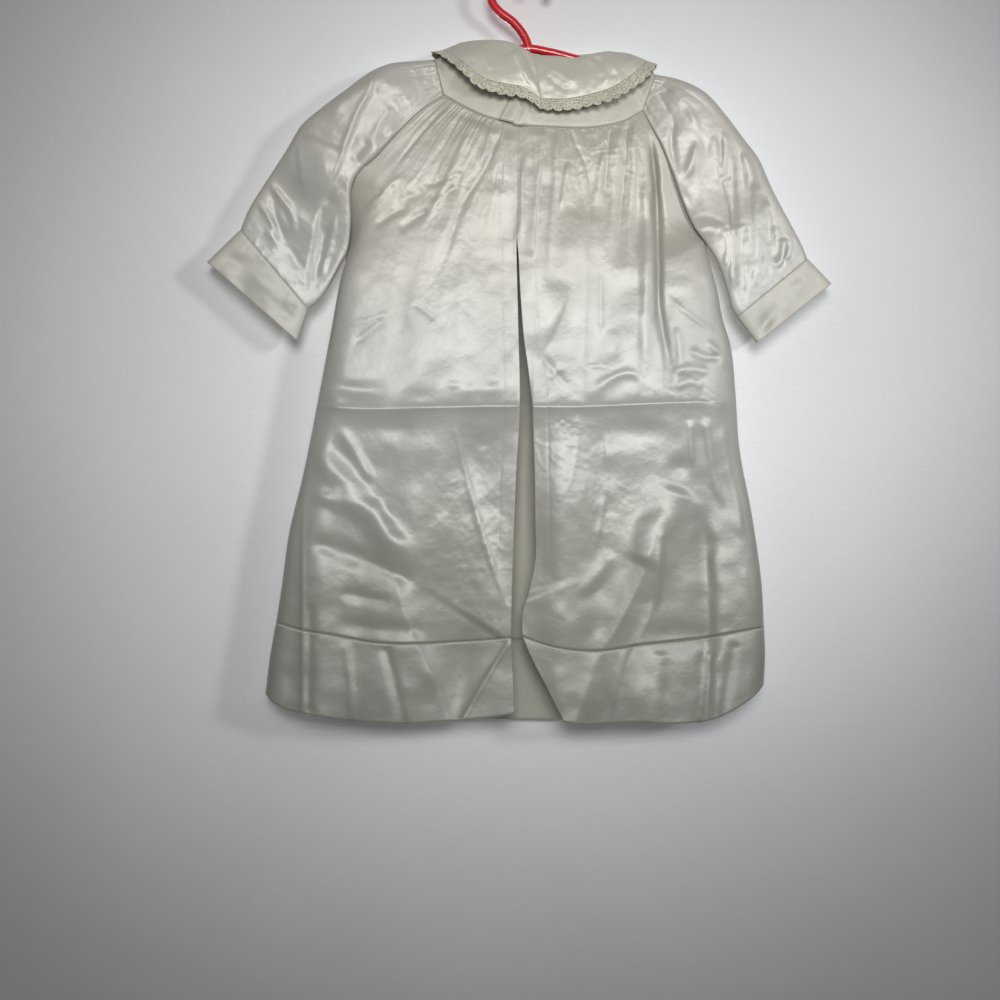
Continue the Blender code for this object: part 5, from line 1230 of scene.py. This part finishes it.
# ---- stitched seams ------------------------------------------------------------------------------------------------------
def stitches(name, path, out, node, radius=0.00042, pitch=0.0024, lift=0.0003):
    """A row of short stitches along a seam. path in metres, out the way the cloth faces there."""
    path, out = np.asarray(path, float), np.asarray(out, float)
    size = np.concatenate([[0], np.cumsum(np.linalg.norm(np.diff(path, axis=0), axis=1))])
    count = max(2, int(size[-1] / pitch))
    verts, faces = [], []
    for n in range(count):
        a, b = (n + 0.06) * pitch, (n + 0.94) * pitch
        if b > size[-1]:
            break
        ring = []
        for share, thick in ((0.0, 0.45), (0.2, 1.0), (0.8, 1.0), (1.0, 0.45)):
            d = a + (b - a) * share
            at = np.array([np.interp(d, size, path[:, i]) for i in range(3)])
            way = np.array([np.interp(d + pitch * 0.3, size, path[:, i]) - np.interp(d - pitch * 0.3, size, path[:, i]) for i in range(3)])
            way /= max(np.linalg.norm(way), 1e-9)
            up = np.array([np.interp(d, size, out[:, i]) for i in range(3)])
            up -= way * up.dot(way)
            up /= max(np.linalg.norm(up), 1e-9)
            side = np.cross(way, up)
            at = at + up * lift * (1.0 if 0 < share < 1 else 0.3)
            ring.append([at + side * math.cos(t) * radius * thick + up * math.sin(t) * radius * 0.6 * thick for t in np.linspace(0, 2 * math.pi, 6, endpoint=False)])
        base = len(verts)
        verts += [tuple(p) for r in ring for p in r]
        for i in range(3):
            for j in range(6):
                k = (j + 1) % 6
                faces.append((base + i * 6 + j, base + i * 6 + k, base + i * 6 + 6 + k, base + i * 6 + 6 + j))
        faces.append(tuple(base + j for j in range(5, -1, -1)))
        faces.append(tuple(base + 18 + j for j in range(6)))
    mesh = bpy.data.meshes.new(name)
    mesh.from_pydata(verts, [], faces)
    mesh.materials.append(THREAD)
    mesh.update()
    bm = bmesh.new()
    bm.from_mesh(mesh)
    bmesh.ops.recalc_face_normals(bm, faces=bm.faces)
    bm.to_mesh(mesh)
    bm.free()
    ob = bpy.data.objects.new(name, mesh)
    bpy.context.scene.collection.objects.link(ob)
    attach(ob, "root")
    return ob


def seam_line(grid, row, shift=0.0):
    """Points on the outer face of a grid of columns, rows and depths."""
    return placed(grid[row : row + 1])[0]


FORWARD = np.array([0.0, -1.0, 0.0])
for side in ("right", "left"):
    line = seam_line(sheets["hem_front_" + side], 1)
    stitches("hem_stitching_" + side, line + FORWARD * 0.0006, np.tile(FORWARD, (len(line), 1)), "hem_front_" + side)
    line = seam_line(sheets["front_" + side], 1)
    stitches("gather_stitching_" + side, line + FORWARD * 0.0004, np.tile(FORWARD, (len(line), 1)), "front_" + side, radius=0.00032, pitch=0.0021)

# ---- room, light and camera --------------------------------------------------------------------------------------------------
def plane_object(name, corners, material):
    mesh = bpy.data.meshes.new(name)
    mesh.from_pydata(corners, [], [(0, 1, 2, 3)])
    mesh.materials.append(material)
    ob = bpy.data.objects.new(name, mesh)
    bpy.context.scene.collection.objects.link(ob)
    return ob


WALL_Y = 0.028
wall = plane_object("wall", [(-2.5, WALL_Y, -1.6), (2.5, WALL_Y, -1.6), (2.5, WALL_Y, 1.6), (-2.5, WALL_Y, 1.6)], wall_material())
wall.visible_shadow = False
floor_look = Nodes("pale_floor")
floor_look.link(floor_look.ramp(floor_look.noise(6.0, 4.0), (0.3, (0.70, 0.69, 0.67)), (0.7, (0.76, 0.75, 0.73))), floor_look.shader.inputs["Base Color"])
floor_look.shader.inputs["Roughness"].default_value = 0.8
plane_object("floor", [(-2.5, -2.5, -1.6), (2.5, -2.5, -1.6), (2.5, 2.5, -1.6), (-2.5, 2.5, -1.6)], floor_look.mat)


def area_light(name, at, aim, size, power, colour=(1, 1, 1)):
    data = bpy.data.lights.new(name, "AREA")
    data.shape = "DISK"
    data.size = size
    data.energy = power
    data.color = colour
    ob = bpy.data.objects.new(name, data)
    ob.location = at
    ob.rotation_euler = (Vector(aim) - Vector(at)).to_track_quat("-Z", "Y").to_euler()
    bpy.context.scene.collection.objects.link(ob)
    return ob


def spot_light(name, at, aim, cone, soft, power, colour=(1, 1, 1)):
    data = bpy.data.lights.new(name, "SPOT")
    data.spot_size = math.radians(cone)
    data.spot_blend = 1.0
    data.shadow_soft_size = soft
    data.energy = power
    data.color = colour
    ob = bpy.data.objects.new(name, data)
    ob.location = at
    ob.rotation_euler = (Vector(aim) - Vector(at)).to_track_quat("-Z", "Y").to_euler()
    bpy.context.scene.collection.objects.link(ob)
    return ob


spot_light("key", (0.03, -1.80, 0.0), (0.030, 0.0, -0.295), 33.5, 0.30, 108.0, (1.0, 0.995, 0.985))
spot_light("side", (1.15, -1.45, -0.05), (0.060, 0.0, -0.28), 32, 0.14, 40.0, (0.98, 0.99, 1.0))
area_light("behind", (-0.25, 1.7, 0.15), (0.0, 0.0, -0.3), 0.6, 26.0)
world = bpy.data.worlds.new("studio")
bpy.context.scene.world = world
world.use_nodes = True
world.node_tree.nodes["Background"].inputs["Color"].default_value = (0.95, 0.975, 1.0, 1.0)
world.node_tree.nodes["Background"].inputs["Strength"].default_value = 0.18

camera = bpy.data.cameras.new("camera")
camera.sensor_width = 36.0
camera.lens = 36.0 * (EYE_FAR * 0.001) / (1000 * UNIT)
camera.clip_start, camera.clip_end = 0.05, 20.0
eye = bpy.data.objects.new("camera", camera)
eye.location = ((EYE_COL - MID_COL) * UNIT, -EYE_FAR * 0.001, (CROWN_ROW - EYE_ROW) * UNIT)
eye.rotation_euler = (math.radians(90), 0, 0)
bpy.context.scene.collection.objects.link(eye)
bpy.context.scene.camera = eye
bpy.context.scene.view_settings.view_transform = "Standard"

bpy.context.view_layer.update()
